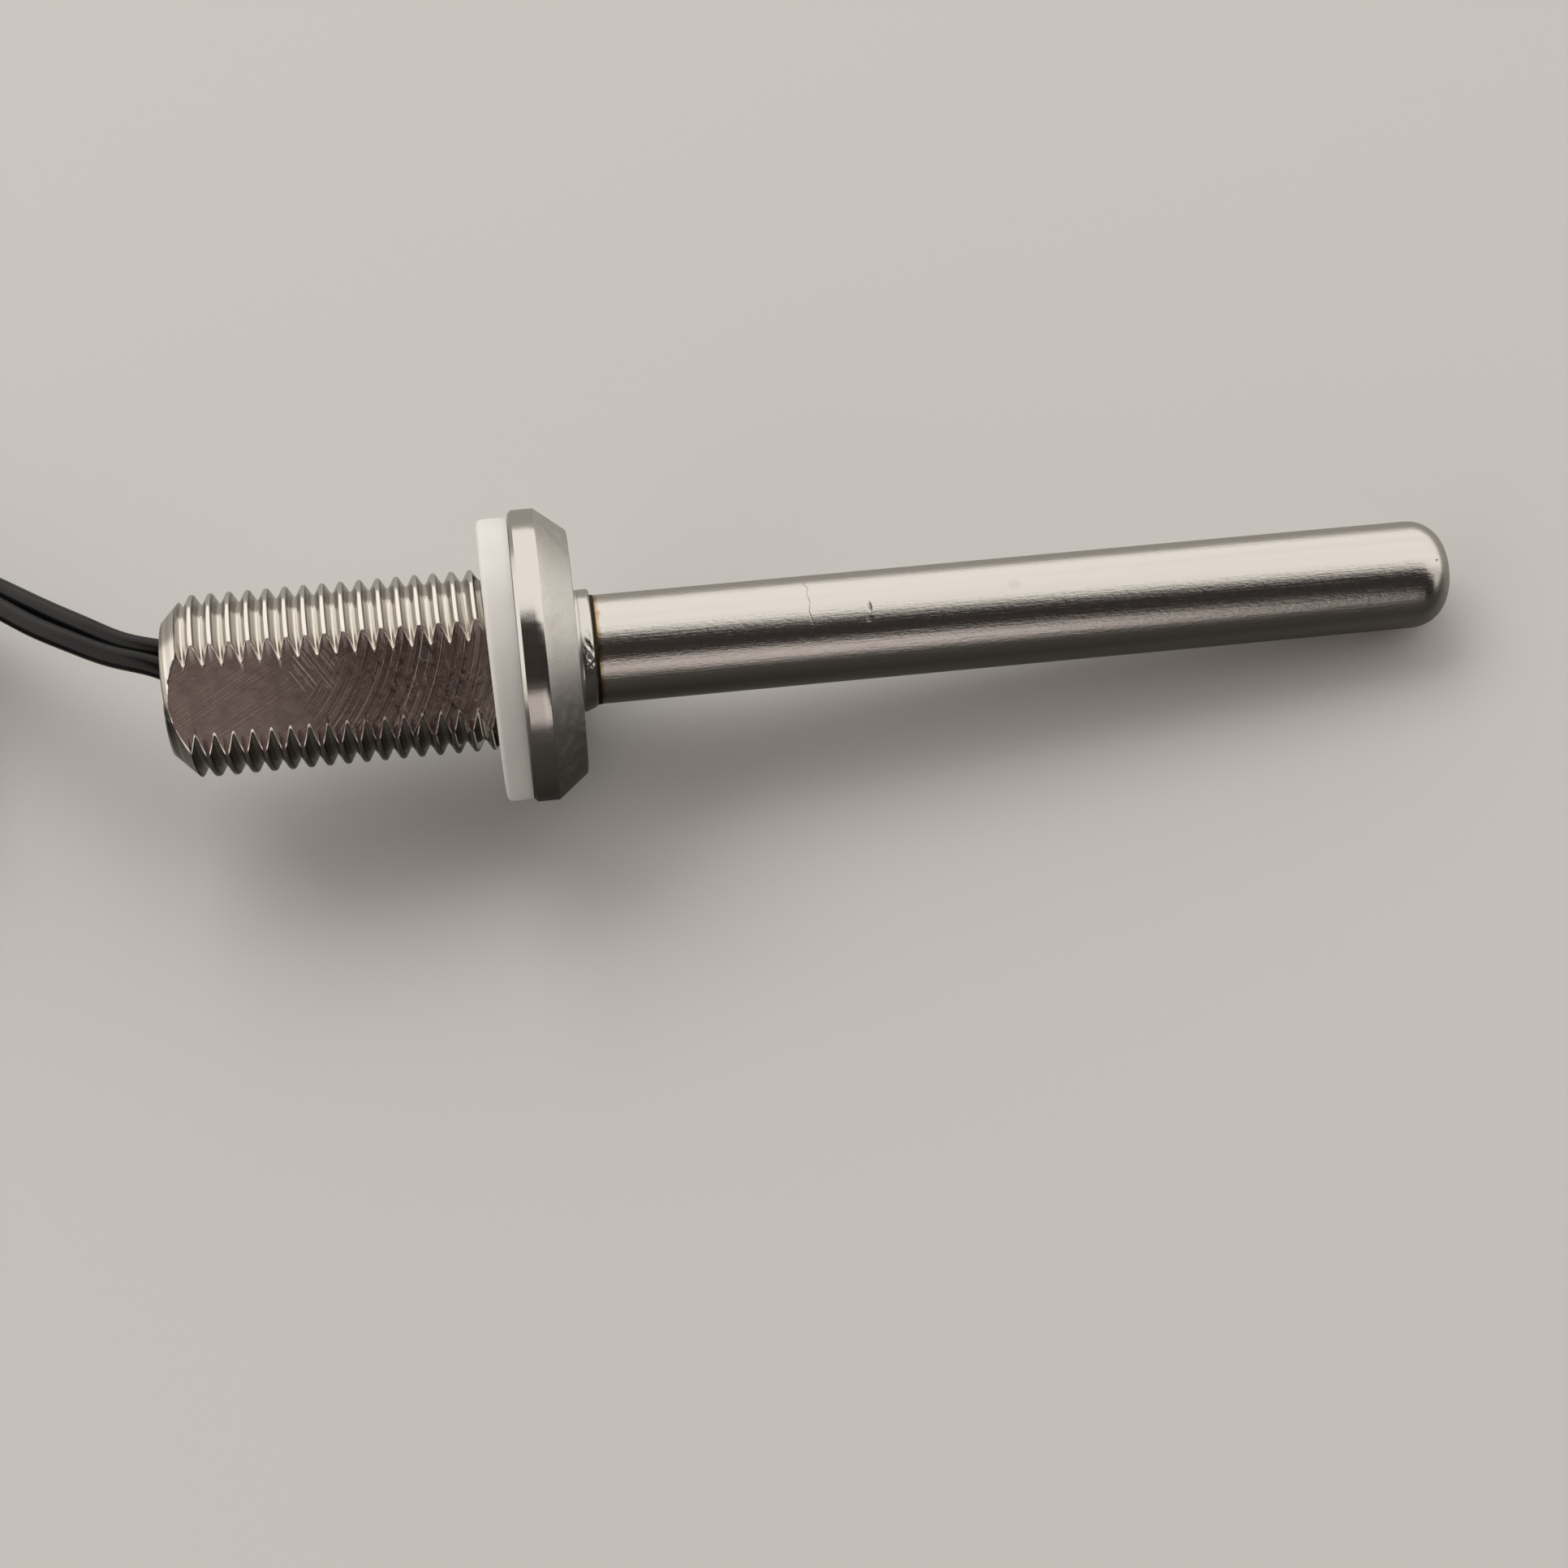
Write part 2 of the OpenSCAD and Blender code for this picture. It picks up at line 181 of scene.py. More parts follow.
# A Math node. Inputs are sockets or numbers.
def calc(tree, operation, *inputs, clamp=False):
    node = addNode(tree, "ShaderNodeMath", operation=operation, use_clamp=clamp)
    for slot, value in zip(node.inputs, inputs):
        if isinstance(value, (int, float)):
            slot.default_value = value
        else:
            tree.links.new(value, slot)
    return node.outputs[0]


def plus(tree, first, second):
    return calc(tree, "ADD", first, second)


def minus(tree, first, second):
    return calc(tree, "SUBTRACT", first, second)


def times(tree, first, second):
    return calc(tree, "MULTIPLY", first, second)


# A mask turned over.
def invert(tree, mask):
    return calc(tree, "SUBTRACT", 1.0, mask)


# The X, Y and Z of a vector.
def parts(tree, vector):
    node = addNode(tree, "ShaderNodeSeparateXYZ")
    tree.links.new(vector, node.inputs[0])
    return node.outputs


# 0 below low, 1 above high, and a soft step between them.
def step(tree, value, low, high):
    node = addNode(tree, "ShaderNodeMapRange", interpolation_type="SMOOTHSTEP")
    tree.links.new(value, node.inputs["Value"])
    node.inputs["From Min"].default_value = low
    node.inputs["From Max"].default_value = high
    return node.outputs["Result"]


# Blend of two colours by a mask. Either colour is a socket or three numbers.
def blend(tree, mask, first, second, mode="MIX"):
    node = addNode(tree, "ShaderNodeMix", data_type="RGBA", blend_type=mode)
    if isinstance(mask, (int, float)):
        node.inputs["Factor"].default_value = mask
    else:
        tree.links.new(mask, node.inputs["Factor"])
    for slot, value in ((node.inputs[6], first), (node.inputs[7], second)):
        if isinstance(value, (tuple, list)):
            slot.default_value = (*value, 1)
        else:
            tree.links.new(value, slot)
    return node.outputs[2]


def scaled(tree, vector, scale, turn=(0, 0, 0), shift=(0, 0, 0)):
    node = addNode(tree, "ShaderNodeMapping")
    tree.links.new(vector, node.inputs["Vector"])
    node.inputs["Scale"].default_value = scale
    node.inputs["Rotation"].default_value = [math.radians(v) for v in turn]
    node.inputs["Location"].default_value = shift
    return node.outputs[0]


# The model's own coordinates in mm.
def modelCoords(tree):
    coords = addNode(tree, "ShaderNodeTexCoord")
    return scaled(tree, coords.outputs["Object"], (1000, 1000, 1000))


# Coordinates in mm: X along the axis from the seal face, Z out at the given turn, Y square to both.
def probeCoords(tree, turn=0):
    a = math.radians(turn)
    out = math.cos(a) * upWay - math.sin(a) * sideWay
    across = np.cross(out, tipWay)
    rows = Matrix([list(tipWay), list(across), list(out)])
    coords = addNode(tree, "ShaderNodeTexCoord")
    place = addNode(tree, "ShaderNodeMapping")
    tree.links.new(coords.outputs["Object"], place.inputs["Vector"])
    place.inputs["Scale"].default_value = (1000, 1000, 1000)
    place.inputs["Rotation"].default_value = rows.to_euler("XYZ")
    place.inputs["Location"].default_value = -(rows @ Vector(sealCentre))
    return place.outputs[0]


def newGroup(name, inputs, outputs):
    tree = bpy.data.node_groups.new(name, "ShaderNodeTree")
    for label, kind, value in inputs:
        socket = tree.interface.new_socket(label, in_out="INPUT", socket_type="NodeSocket" + kind)
        if value is not None:
            socket.default_value = value
    for label, kind in outputs:
        tree.interface.new_socket(label, in_out="OUTPUT", socket_type="NodeSocket" + kind)
    return tree, addNode(tree, "NodeGroupInput"), addNode(tree, "NodeGroupOutput")


def useGroup(tree, group, **inputs):
    node = addNode(tree, "ShaderNodeGroup", node_tree=group)
    for label, value in inputs.items():
        slot = node.inputs[label]
        if isinstance(value, (int, float, tuple)):
            slot.default_value = value
        else:
            tree.links.new(value, slot)
    return node


# Fine grain: layered noise, as a height and as a soft mask of patches.
grainGroup, gIn, gOut = newGroup("fineGrain", [("Vector", "Vector", None), ("Size", "Float", 1.0)],
                                 [("Height", "Float"), ("Patches", "Float")])
fine = addNode(grainGroup, "ShaderNodeTexNoise")
fine.inputs["Detail"].default_value = 4
fine.inputs["Roughness"].default_value = 0.65
broad = addNode(grainGroup, "ShaderNodeTexNoise")
broad.inputs["Detail"].default_value = 2
grainGroup.links.new(gIn.outputs["Vector"], fine.inputs["Vector"])
grainGroup.links.new(gIn.outputs["Vector"], broad.inputs["Vector"])
grainGroup.links.new(gIn.outputs["Size"], fine.inputs["Scale"])
grainGroup.links.new(times(grainGroup, gIn.outputs["Size"], 0.12), broad.inputs["Scale"])
grainGroup.links.new(fine.outputs["Fac"], gOut.inputs["Height"])
grainGroup.links.new(step(grainGroup, broad.outputs["Fac"], 0.38, 0.66), gOut.inputs["Patches"])

# Cut marks: thin lines at uneven spacing across the vector's X, broken up along them.
marksGroup, mIn, mOut = newGroup("cutMarks", [("Vector", "Vector", None), ("Pitch", "Float", 0.1),
                                             ("Breaks", "Float", 0.3)],
                                 [("Height", "Float"), ("Lines", "Float")])
apart = parts(marksGroup, mIn.outputs["Vector"])
lines = addNode(marksGroup, "ShaderNodeTexNoise", noise_dimensions="1D")
lines.inputs["Scale"].default_value = 1
lines.inputs["Detail"].default_value = 3
lines.inputs["Roughness"].default_value = 0.6
marksGroup.links.new(calc(marksGroup, "DIVIDE", apart[0], mIn.outputs["Pitch"]), lines.inputs["W"])
gaps = addNode(marksGroup, "ShaderNodeTexNoise")
gaps.inputs["Scale"].default_value = 1.3
gaps.inputs["Detail"].default_value = 2
marksGroup.links.new(mIn.outputs["Vector"], gaps.inputs["Vector"])
kept = invert(marksGroup, times(marksGroup, mIn.outputs["Breaks"],
                                step(marksGroup, gaps.outputs["Fac"], 0.42, 0.62)))
marksGroup.links.new(times(marksGroup, lines.outputs["Fac"], kept), mOut.inputs["Height"])
marksGroup.links.new(times(marksGroup, step(marksGroup, lines.outputs["Fac"], 0.56, 0.66), kept),
                     mOut.inputs["Lines"])

# Dust: a few small round specks.
dustGroup, dIn, dOut = newGroup("dustSpecks", [("Vector", "Vector", None), ("Size", "Float", 2.0),
                                              ("Amount", "Float", 0.1)], [("Mask", "Float")])
cells = addNode(dustGroup, "ShaderNodeTexVoronoi")
dustGroup.links.new(dIn.outputs["Vector"], cells.inputs["Vector"])
dustGroup.links.new(dIn.outputs["Size"], cells.inputs["Scale"])
pick = addNode(dustGroup, "ShaderNodeSeparateColor")
dustGroup.links.new(cells.outputs["Color"], pick.inputs[0])
chosen = calc(dustGroup, "LESS_THAN", pick.outputs[0], dIn.outputs["Amount"])
near = invert(dustGroup, step(dustGroup, cells.outputs["Distance"], 0.08, 0.16))
dustGroup.links.new(times(dustGroup, chosen, near), dOut.inputs["Mask"])

# One mark: 1 at a place and 0 a radius away from it, with its own stretch.
spotGroup, sIn, sOut = newGroup("singleSpot",
                                [("Vector", "Vector", None), ("Place", "Vector", (0, 0, 0)),
                                 ("Reach", "Vector", (1, 1, 1))],
                                [("Mask", "Float"), ("Ring", "Float")])
away = addNode(spotGroup, "ShaderNodeVectorMath", operation="SUBTRACT")
spotGroup.links.new(sIn.outputs["Vector"], away.inputs[0])
spotGroup.links.new(sIn.outputs["Place"], away.inputs[1])
share = addNode(spotGroup, "ShaderNodeVectorMath", operation="DIVIDE")
spotGroup.links.new(away.outputs[0], share.inputs[0])
spotGroup.links.new(sIn.outputs["Reach"], share.inputs[1])
far = addNode(spotGroup, "ShaderNodeVectorMath", operation="LENGTH")
spotGroup.links.new(share.outputs[0], far.inputs[0])
spotGroup.links.new(invert(spotGroup, step(spotGroup, far.outputs["Value"], 0.25, 1.0)), sOut.inputs["Mask"])
rim = times(spotGroup, step(spotGroup, far.outputs["Value"], 0.6, 0.95),
            invert(spotGroup, step(spotGroup, far.outputs["Value"], 1.0, 1.3)))
spotGroup.links.new(rim, sOut.inputs["Ring"])


# A material with plain numbers on its Principled sockets.
def newMaterial(name, colour, **sockets):
    material = bpy.data.materials.new(name)
    material.use_nodes = True
    shader = material.node_tree.nodes["Principled BSDF"]
    shader.inputs["Base Color"].default_value = (*colour, 1)
    for label, value in sockets.items():
        shader.inputs[label.replace("_", " ")].default_value = value
    return material, material.node_tree, shader


def paint(tree, shader, colour):
    tree.links.new(colour, shader.inputs["Base Color"])


# Surface relief: the distance is in mm.
def bump(tree, shader, height, strength, distance):
    node = addNode(tree, "ShaderNodeBump")
    node.inputs["Strength"].default_value = strength
    node.inputs["Distance"].default_value = distance / 1000
    tree.links.new(height, node.inputs["Height"])
    tree.links.new(node.outputs[0], shader.inputs["Normal"])
    return node


# Roughness that a mask moves between two values.
def roughnessBy(tree, shader, mask, low, high):
    node = addNode(tree, "ShaderNodeMapRange")
    tree.links.new(mask, node.inputs["Value"])
    node.inputs["To Min"].default_value = low
    node.inputs["To Max"].default_value = high
    tree.links.new(node.outputs["Result"], shader.inputs["Roughness"])


# --- fitting: threaded stud with two flats, flange, cone and neck in one turned piece ---
steel = (0.70, 0.675, 0.64)
fitting = {
    "studLength": 19.0, "crestRadius": 4.96, "rootRadius": 4.36, "pitch": 1.0,
    "crestAt": -17.34, "crestTurn": -62.5,    # one crest passes here
    "crestHalf": 0.1, "rounding": 0.06,
    "bevel": 1.3, "reliefAt": -1.0, "reliefRadius": 4.3, "runOut": 3.0,
    "flatTurn": 39.0, "flatHalf": 3.95, "edge": 0.11, "lip": 0.085,
    "boreRadius": 3.025, "boreEnd": -13.0, "mouthBevel": 0.25,
    "flangeRadius": 8.0, "bandLength": 1.4, "coneLength": 1.7, "coneRadius": 6.65,
    "faceBevel": 0.2, "neckRadius": 3.35, "neckLength": 0.9, "neckBevel": 0.2,
}

# cut thread: painted highlights on the crests and roots, painted shade on the flanks, most on the one
# towards the ring, and a painted shadow just under each crest on that side
paintedThreadLight = {
    "paintedHighlight": (0.86, 0.83, 0.78), "leadFlankShade": (0.70, 0.67, 0.62),
    "ringFlankShade": (0.46, 0.44, 0.40), "shadowUnderCrest": (0.13, 0.12, 0.105),
}
threadSteel, tree, shader = newMaterial("threadSteel", steel, Metallic=1.0, Roughness=0.2)
coords = probeCoords(tree)
split = parts(tree, coords)
turnShare = calc(tree, "DIVIDE", calc(tree, "ARCTAN2", times(tree, split[1], -1.0), split[2]), 2 * math.pi)
# mm from the nearest crest, along the axis: the helix moves on by one pitch in a turn
crestUp = fitting["crestAt"] - fitting["crestTurn"] / 360 * fitting["pitch"]
fromCrest = minus(tree, minus(tree, split[0], times(tree, turnShare, fitting["pitch"])), crestUp)
fromCrest = calc(tree, "WRAP", fromCrest, fitting["pitch"] / 2, -fitting["pitch"] / 2)
# masks for the painted shade on each flank and the painted shadow just under the crest
toLeads = invert(tree, step(tree, fromCrest, -0.17, -0.1))
toLeads = times(tree, toLeads, step(tree, fromCrest, -0.43, -0.38))
toRing = times(tree, step(tree, fromCrest, 0.09, 0.14), invert(tree, step(tree, fromCrest, 0.38, 0.43)))
shadowStrip = times(tree, toRing, invert(tree, step(tree, fromCrest, 0.14, 0.24)))
colour = blend(tree, toLeads, paintedThreadLight["paintedHighlight"], paintedThreadLight["leadFlankShade"])
colour = blend(tree, toRing, colour, paintedThreadLight["ringFlankShade"])
paint(tree, shader, blend(tree, shadowStrip, colour, paintedThreadLight["shadowUnderCrest"]))
grain = useGroup(tree, grainGroup, Vector=scaled(tree, coords, (6, 1.2, 1.2)), Size=3.0)
roughnessBy(tree, shader, grain.outputs["Height"], 0.07, 0.17)
bump(tree, shader, grain.outputs["Height"], 0.1, 0.02)

# milled flat: curved cutter marks, dense near the ring, a few cross scratches
milling = {
    "centre": (-18.4, 5.2),    # of the arcs, along the axis and across the flat
    "pitch": 0.3, "depth": 0.07, "marksFrom": (-13.0, -5.5), "darkFrom": (-15.5, -7.5),
    "bright": (0.66, 0.615, 0.59), "dark": (0.30, 0.262, 0.242), "inMarks": (0.17, 0.145, 0.13),
    "scratchPlace": (-10.8, 1.2, 3.95), "scratchReach": (1.9, 1.5, 3.0),
}
flatSteel, tree, shader = newMaterial("flatSteel", (0.66, 0.63, 0.60), Metallic=1.0, Roughness=0.22)
coords = probeCoords(tree, fitting["flatTurn"])
split = parts(tree, coords)
reachX = minus(tree, split[0], milling["centre"][0])
reachY = minus(tree, split[1], milling["centre"][1])
arcs = addNode(tree, "ShaderNodeCombineXYZ")
reach = calc(tree, "SQRT", plus(tree, times(tree, reachX, reachX), times(tree, reachY, reachY)))
tree.links.new(reach, arcs.inputs[0])
tree.links.new(split[0], arcs.inputs[1])
tree.links.new(split[1], arcs.inputs[2])
deepMarks = useGroup(tree, marksGroup, Vector=arcs.outputs[0], Pitch=milling["pitch"], Breaks=0.25)
hairWay = scaled(tree, coords, (1, 1, 1), turn=(0, 0, 61))
hairMarks = useGroup(tree, marksGroup, Vector=hairWay, Pitch=0.07, Breaks=0.5)
crossWay = scaled(tree, coords, (1, 1, 1), turn=(0, 0, -32))
crossMarks = useGroup(tree, marksGroup, Vector=crossWay, Pitch=0.11, Breaks=0.9)
crossSpot = useGroup(tree, spotGroup, Vector=coords, Place=milling["scratchPlace"],
                     Reach=milling["scratchReach"])
denser = step(tree, split[0], *milling["marksFrom"])
crossed = times(tree, crossMarks.outputs["Lines"], crossSpot.outputs["Mask"])
height = plus(tree, times(tree, deepMarks.outputs["Height"], denser),
              times(tree, hairMarks.outputs["Height"], 0.07))
bump(tree, shader, plus(tree, height, times(tree, crossed, 0.5)), 1.0, milling["depth"])
# the flat's colour goes darker towards the ring, and darker again in the cutter marks
darkerTowardRing = blend(tree, step(tree, split[0], *milling["darkFrom"]), milling["bright"], milling["dark"])
inMarks = times(tree, times(tree, deepMarks.outputs["Lines"], denser), 0.75)
paint(tree, shader, blend(tree, inMarks, darkerTowardRing, milling["inMarks"]))
grain = useGroup(tree, grainGroup, Vector=coords, Size=1.5)
roughnessBy(tree, shader, grain.outputs["Height"], 0.14, 0.3)

# turned band and seal face: fine rings, soft patches
bandSteel, tree, shader = newMaterial("bandSteel", steel, Metallic=1.0, Roughness=0.22)
coords = probeCoords(tree)
rings = useGroup(tree, marksGroup, Vector=coords, Pitch=0.05, Breaks=0.4)
grain = useGroup(tree, grainGroup, Vector=scaled(tree, coords, (0.35, 1, 1)), Size=3.2)
height = plus(tree, times(tree, rings.outputs["Height"], 0.35), grain.outputs["Height"])
bump(tree, shader, height, 0.16, 0.02)
roughnessBy(tree, shader, grain.outputs["Height"], 0.08, 0.24)

# blasted cone: matt, very fine grain
coneSteel, tree, shader = newMaterial("coneSteel", (0.69, 0.67, 0.64), Metallic=1.0, Roughness=0.5)
grain = useGroup(tree, grainGroup, Vector=probeCoords(tree), Size=14.0)
bump(tree, shader, grain.outputs["Height"], 0.5, 0.03)
roughnessBy(tree, shader, grain.outputs["Patches"], 0.33, 0.44)

# neck, stud's end and bore: turned, a little dull
neckSteel, tree, shader = newMaterial("neckSteel", (0.70, 0.68, 0.65), Metallic=1.0, Roughness=0.3)
grain = useGroup(tree, grainGroup, Vector=scaled(tree, probeCoords(tree), (2.5, 1, 1)), Size=5.0)
bump(tree, shader, grain.outputs["Height"], 0.2, 0.02)
roughnessBy(tree, shader, grain.outputs["Height"], 0.22, 0.4)

print("helpers and fitting materials made")


# Depth of the thread below its crest at a distance from the crest's middle: a 60 degree flank
# held between 0 and the full depth, with both corners rounded by a square root.
def threadDepth(offset):
    full = fitting["crestRadius"] - fitting["rootRadius"]
    flank = (np.abs(offset) - fitting["crestHalf"]) * math.sqrt(3)
    shallow = (flank + np.sqrt(flank ** 2 + fitting["rounding"] ** 2)) / 2
    rest = full - shallow
    return full - (rest + np.sqrt(rest ** 2 + fitting["rounding"] ** 2)) / 2


# Largest radius at a place along the stud: the bevel at its end and the run-out at the relief.
def studLimit(along):
    start = fitting["crestRadius"] - fitting["bevel"] + (along + fitting["studLength"])
    finish = fitting["reliefRadius"] + fitting["runOut"] * np.maximum(0, fitting["reliefAt"] - along)
    return np.minimum(start, finish)


weld = {
    "start": 3.3, "finish": 4.0, "gapEnd": 4.2, "ripples": 40, "height": 0.003, "strong": 0.06,
    "strongTurn": 34.0, "strongReach": 11.0, "slope": 0.28, "slopeTurn": 118.0,
}


# How far the neck's end slopes down to the sheath, on the side away from the weld's ripples: the
# share of the way along the bead, times a cosine of the turn, and nothing at the sheath itself.
def weldSlope(along, radius, turn):
    low = np.clip(0.5 + 0.9 * np.cos(np.radians(turn - weld["slopeTurn"])), 0, 1)
    share = np.clip((along - weld["start"]) / (weld["finish"] - weld["start"]), 0, 1)
    return weld["slope"] * low * share * np.clip((radius - 3.05) / 0.2, 0, 1)


# Rows of the fitting, from the bore out over the thread to the neck's end: place along the axis,
# radius, travel along it in each degree of turn, and what the flats, burr, weld and finish need.
def fittingRows():
    f = fitting
    half = np.array([0.02, 0.045, 0.058, 0.068, 0.08, 0.1, 0.16, 0.23, 0.3, 0.35, 0.385, 0.405, 0.425, 0.45])
    offsets = np.r_[-0.5, -half[::-1], half] * f["pitch"]
    ridges = np.arange(-2, 17)
    crestOnFlat = f["crestAt"] + (f["flatTurn"] - f["crestTurn"]) / 360 * f["pitch"]
    screwBase = (crestOnFlat + ridges[:, None] * f["pitch"] + offsets).ravel()
    screwRadius = np.tile(f["crestRadius"] - threadDepth(offsets), len(ridges))
    studEnd = -f["studLength"]
    coneEnd = f["bandLength"] + f["coneLength"]
    neckEnd = coneEnd + f["neckLength"]
    before = [(neckEnd, f["boreRadius"]), (f["boreEnd"], f["boreRadius"]),
              (studEnd + f["mouthBevel"], f["boreRadius"]), (studEnd, f["boreRadius"] + f["mouthBevel"]),
              (studEnd, f["crestRadius"] - f["bevel"])]
    rim = np.array([f["bandLength"], f["flangeRadius"]])
    slant = np.array([f["coneLength"], f["coneRadius"] - f["flangeRadius"]])
    face = [(f["reliefAt"], f["reliefRadius"]), (0, f["reliefRadius"]), (0, 5.0),
            (0, f["flangeRadius"] - f["faceBevel"])]
    band = [(f["faceBevel"], f["flangeRadius"]), (0.5, f["flangeRadius"]), (0.95, f["flangeRadius"]),
            (rim[0] - 0.03, rim[1]), (rim[0], rim[1] - 0.008)]
    cone = [tuple(rim + slant * share) for share in (0.025, 0.3, 0.6, 0.9)]
    cone += [tuple(rim + slant * 0.97 + (0.02, -0.02)), (coneEnd, f["coneRadius"] - 0.16),
             (coneEnd, f["coneRadius"] - 0.4), (coneEnd, f["neckRadius"] + 0.1)]
    neck = [(coneEnd + 0.03, f["neckRadius"] + 0.03), (coneEnd + 0.1, f["neckRadius"]),
            (weld["start"], f["neckRadius"]), (weld["start"] + 0.25, f["neckRadius"]),
            (neckEnd - f["neckBevel"], f["neckRadius"]), (neckEnd, f["neckRadius"] - f["neckBevel"])]
    after = face + band + cone + neck
    base = np.r_[[p[0] for p in before], screwBase, [p[0] for p in after]]
    radius = np.r_[[p[1] for p in before], screwRadius, [p[1] for p in after]]
    row = np.arange(len(base))
    last = len(before) + len(screwBase)
    onScrew = (row >= len(before)) & (row < last)
    screw = np.where(onScrew, f["pitch"] / 360, 0)
    cut = (row >= len(before) - 1) & (row < last + 2)
    leadSide = np.zeros(len(base), bool)
    leadSide[onScrew] = np.tile(offsets < 0.1, len(ridges))
    onNeck = (base > coneEnd) & (row > last)
    finish = np.zeros(len(base), int)    # 0 thread, 2 band, 3 cone, 4 neck: of the faces after a row
    finish[:len(before) - 2] = 4
    finish[last + 1:] = 2
    finish[last + len(face + band) - 1:] = 3
    finish[last + len(face + band + cone):] = 4
    return [values[:, None] for values in (base, radius, screw, cut, leadSide, onNeck, finish)]


# Fitting as one grid. A row is a line at a fixed radius that follows the thread, or goes
# straight round; the columns crowd to the two flats' edges, so that those are crisp.
def fittingGrid():
    f = fitting
    base, radius, screw, cut, leadSide, onNeck, finish = fittingRows()

    def alongAt(turn):
        free = base + screw * turn
        return np.where(screw > 0, np.clip(free, -f["studLength"], f["reliefAt"]), free)

    def radiusAt(turn):
        return np.minimum(radius, np.where(screw > 0, studLimit(alongAt(turn)), 99))

    # half width of a flat in degrees, at its edge near the given turn
    def flatEdge(centre, way):
        width = np.full_like(base, 25.0)
        for _ in range(5):
            reach = np.maximum(radiusAt(centre + way * width), f["flatHalf"] + 0.15)
            width = np.degrees(np.arccos(f["flatHalf"] / reach))
        return np.where(cut, width, 24.0)

    edge = np.degrees(f["edge"] / np.maximum(radius, 3.0))
    halfTurn = np.full_like(base, 180.0)
    marks = [-halfTurn, -180 + flatEdge(-180, 1), -flatEdge(0, -1),
             flatEdge(0, 1), 180 - flatEdge(180, -1), halfTurn]
    columns, onFlat, atEdge = [], [], []
    for k, count in enumerate([4, 44, 8, 44, 4]):
        low = marks[k] + (edge if k > 0 else 0)
        high = marks[k + 1] - (edge if k < 4 else 0)
        columns.append(low + (high - low) * np.linspace(0, 1, count + 1))
        onFlat += [k % 2 == 0] * (count + 1)
        atEdge += [False] * (count + 1)
        if k < 4:
            columns.append(marks[k + 1])
            onFlat.append(True)
            atEdge.append(True)
    turn = np.concatenate(columns, axis=1)
    onFlat, atEdge = np.array(onFlat), np.array(atEdge)
    along, out = alongAt(turn), radiusAt(turn)
    nearest = np.where(np.abs(turn) > 90, 180 - np.abs(turn), np.abs(turn))
    plane = f["flatHalf"] / np.maximum(np.cos(np.radians(nearest)), 0.05)
    clipped = cut & (nearest < 60) & (out > plane - 1e-6)
    out = np.where(clipped, plane, out)
    burr = f["lip"] * (0.75 + 0.25 * np.sin(17 * along + 0.3 * turn) * np.sin(5.3 * along))
    out = out + np.where(clipped & atEdge, burr * (0.75 + 0.25 * leadSide), 0)
    out = out - np.where(onNeck, weldSlope(along, out, turn + f["flatTurn"]), 0)
    onPlane = clipped & onFlat
    onPlane = onPlane & np.roll(onPlane, -1, axis=0)
    onPlane = onPlane & np.roll(onPlane, -1, axis=1)
    which = np.where(onPlane, 1, finish)
    return onProbe(along, turn + f["flatTurn"], out), which


points, which = fittingGrid()
rows, columns = points.shape[:2]
quads = gridQuads(rows, columns, closeRows=True, closeColumns=True)
fittingPiece = makePiece("threadedFitting", points, quads,
                         [threadSteel, flatSteel, bandSteel, coneSteel, neckSteel], which.ravel())
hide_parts("threaded_body")
print("fitting made,", len(fittingPiece.data.polygons), "faces")


# Turned piece: a profile of (along, radius) points carried round the axis in even steps.
# spread adds to the radius and the place along, from arrays by row and turn.
def turned(profile, count, spread=None):
    profile = np.asarray(profile, float)
    turn = np.linspace(0, 360, count, endpoint=False)[None, :]
    along = profile[:, :1] + 0 * turn
    radius = profile[:, 1:] + 0 * turn
    if spread is not None:
        moreAlong, moreOut = spread(along, radius, turn + 0 * along)
        along, radius = along + moreAlong, radius + moreOut
    return onProbe(along, turn + 0 * along, radius)


# Arc of a profile: points at even angles round a centre.
def arc(centre, radius, start, finish, count):
    a = np.radians(np.linspace(start, finish, count))
    return np.stack([centre[0] + radius * np.sin(a), centre[1] + radius * np.cos(a)], -1)


# --- sealing ring ---
ring = {
    "thickness": 1.6, "outer": 7.7, "inner": 5.05, "round": 0.28, "bulge": 0.05,
    "lean": 0.14,      # the ring's face leans this much towards the leads at the top
    "lift": 0.03,      # and lets go of the flange by this much there
    "drop": 0.1, "dropTurn": 118.0,
    "highTurn": -62.5,
}
silicone, tree, shader = newMaterial("silicone", (0.67, 0.66, 0.645), Roughness=0.5, Subsurface_Weight=0.35,
                                     Subsurface_Scale=0.001, Subsurface_Radius=(1.0, 0.95, 0.9))
grain = useGroup(tree, grainGroup, Vector=probeCoords(tree), Size=2.5)
bump(tree, shader, grain.outputs["Height"], 0.08, 0.03)
paint(tree, shader, blend(tree, grain.outputs["Patches"], (0.69, 0.68, 0.665), (0.655, 0.645, 0.63)))
roughnessBy(tree, shader, grain.outputs["Height"], 0.42, 0.6)


# The ring's face moves with the cosine of the turn from its high side, more the nearer it is to
# the leads, and its outside bulges by a parabola across its width.
def ringSpread(along, radius, turn):
    high = np.cos(np.radians(turn - ring["highTurn"]))
    share = -along / ring["thickness"]
    outer = np.clip((radius - ring["inner"]) / (ring["outer"] - ring["inner"]), 0, 1)
    moreAlong = -share * ring["lean"] * high - (1 - share) * ring["lift"] * np.clip(high, 0, 1)
    down = np.cos(np.radians(turn - ring["dropTurn"]))
    moreOut = outer * (4 * share * (1 - share) * ring["bulge"] + ring["drop"] * down)
    return moreAlong, moreOut


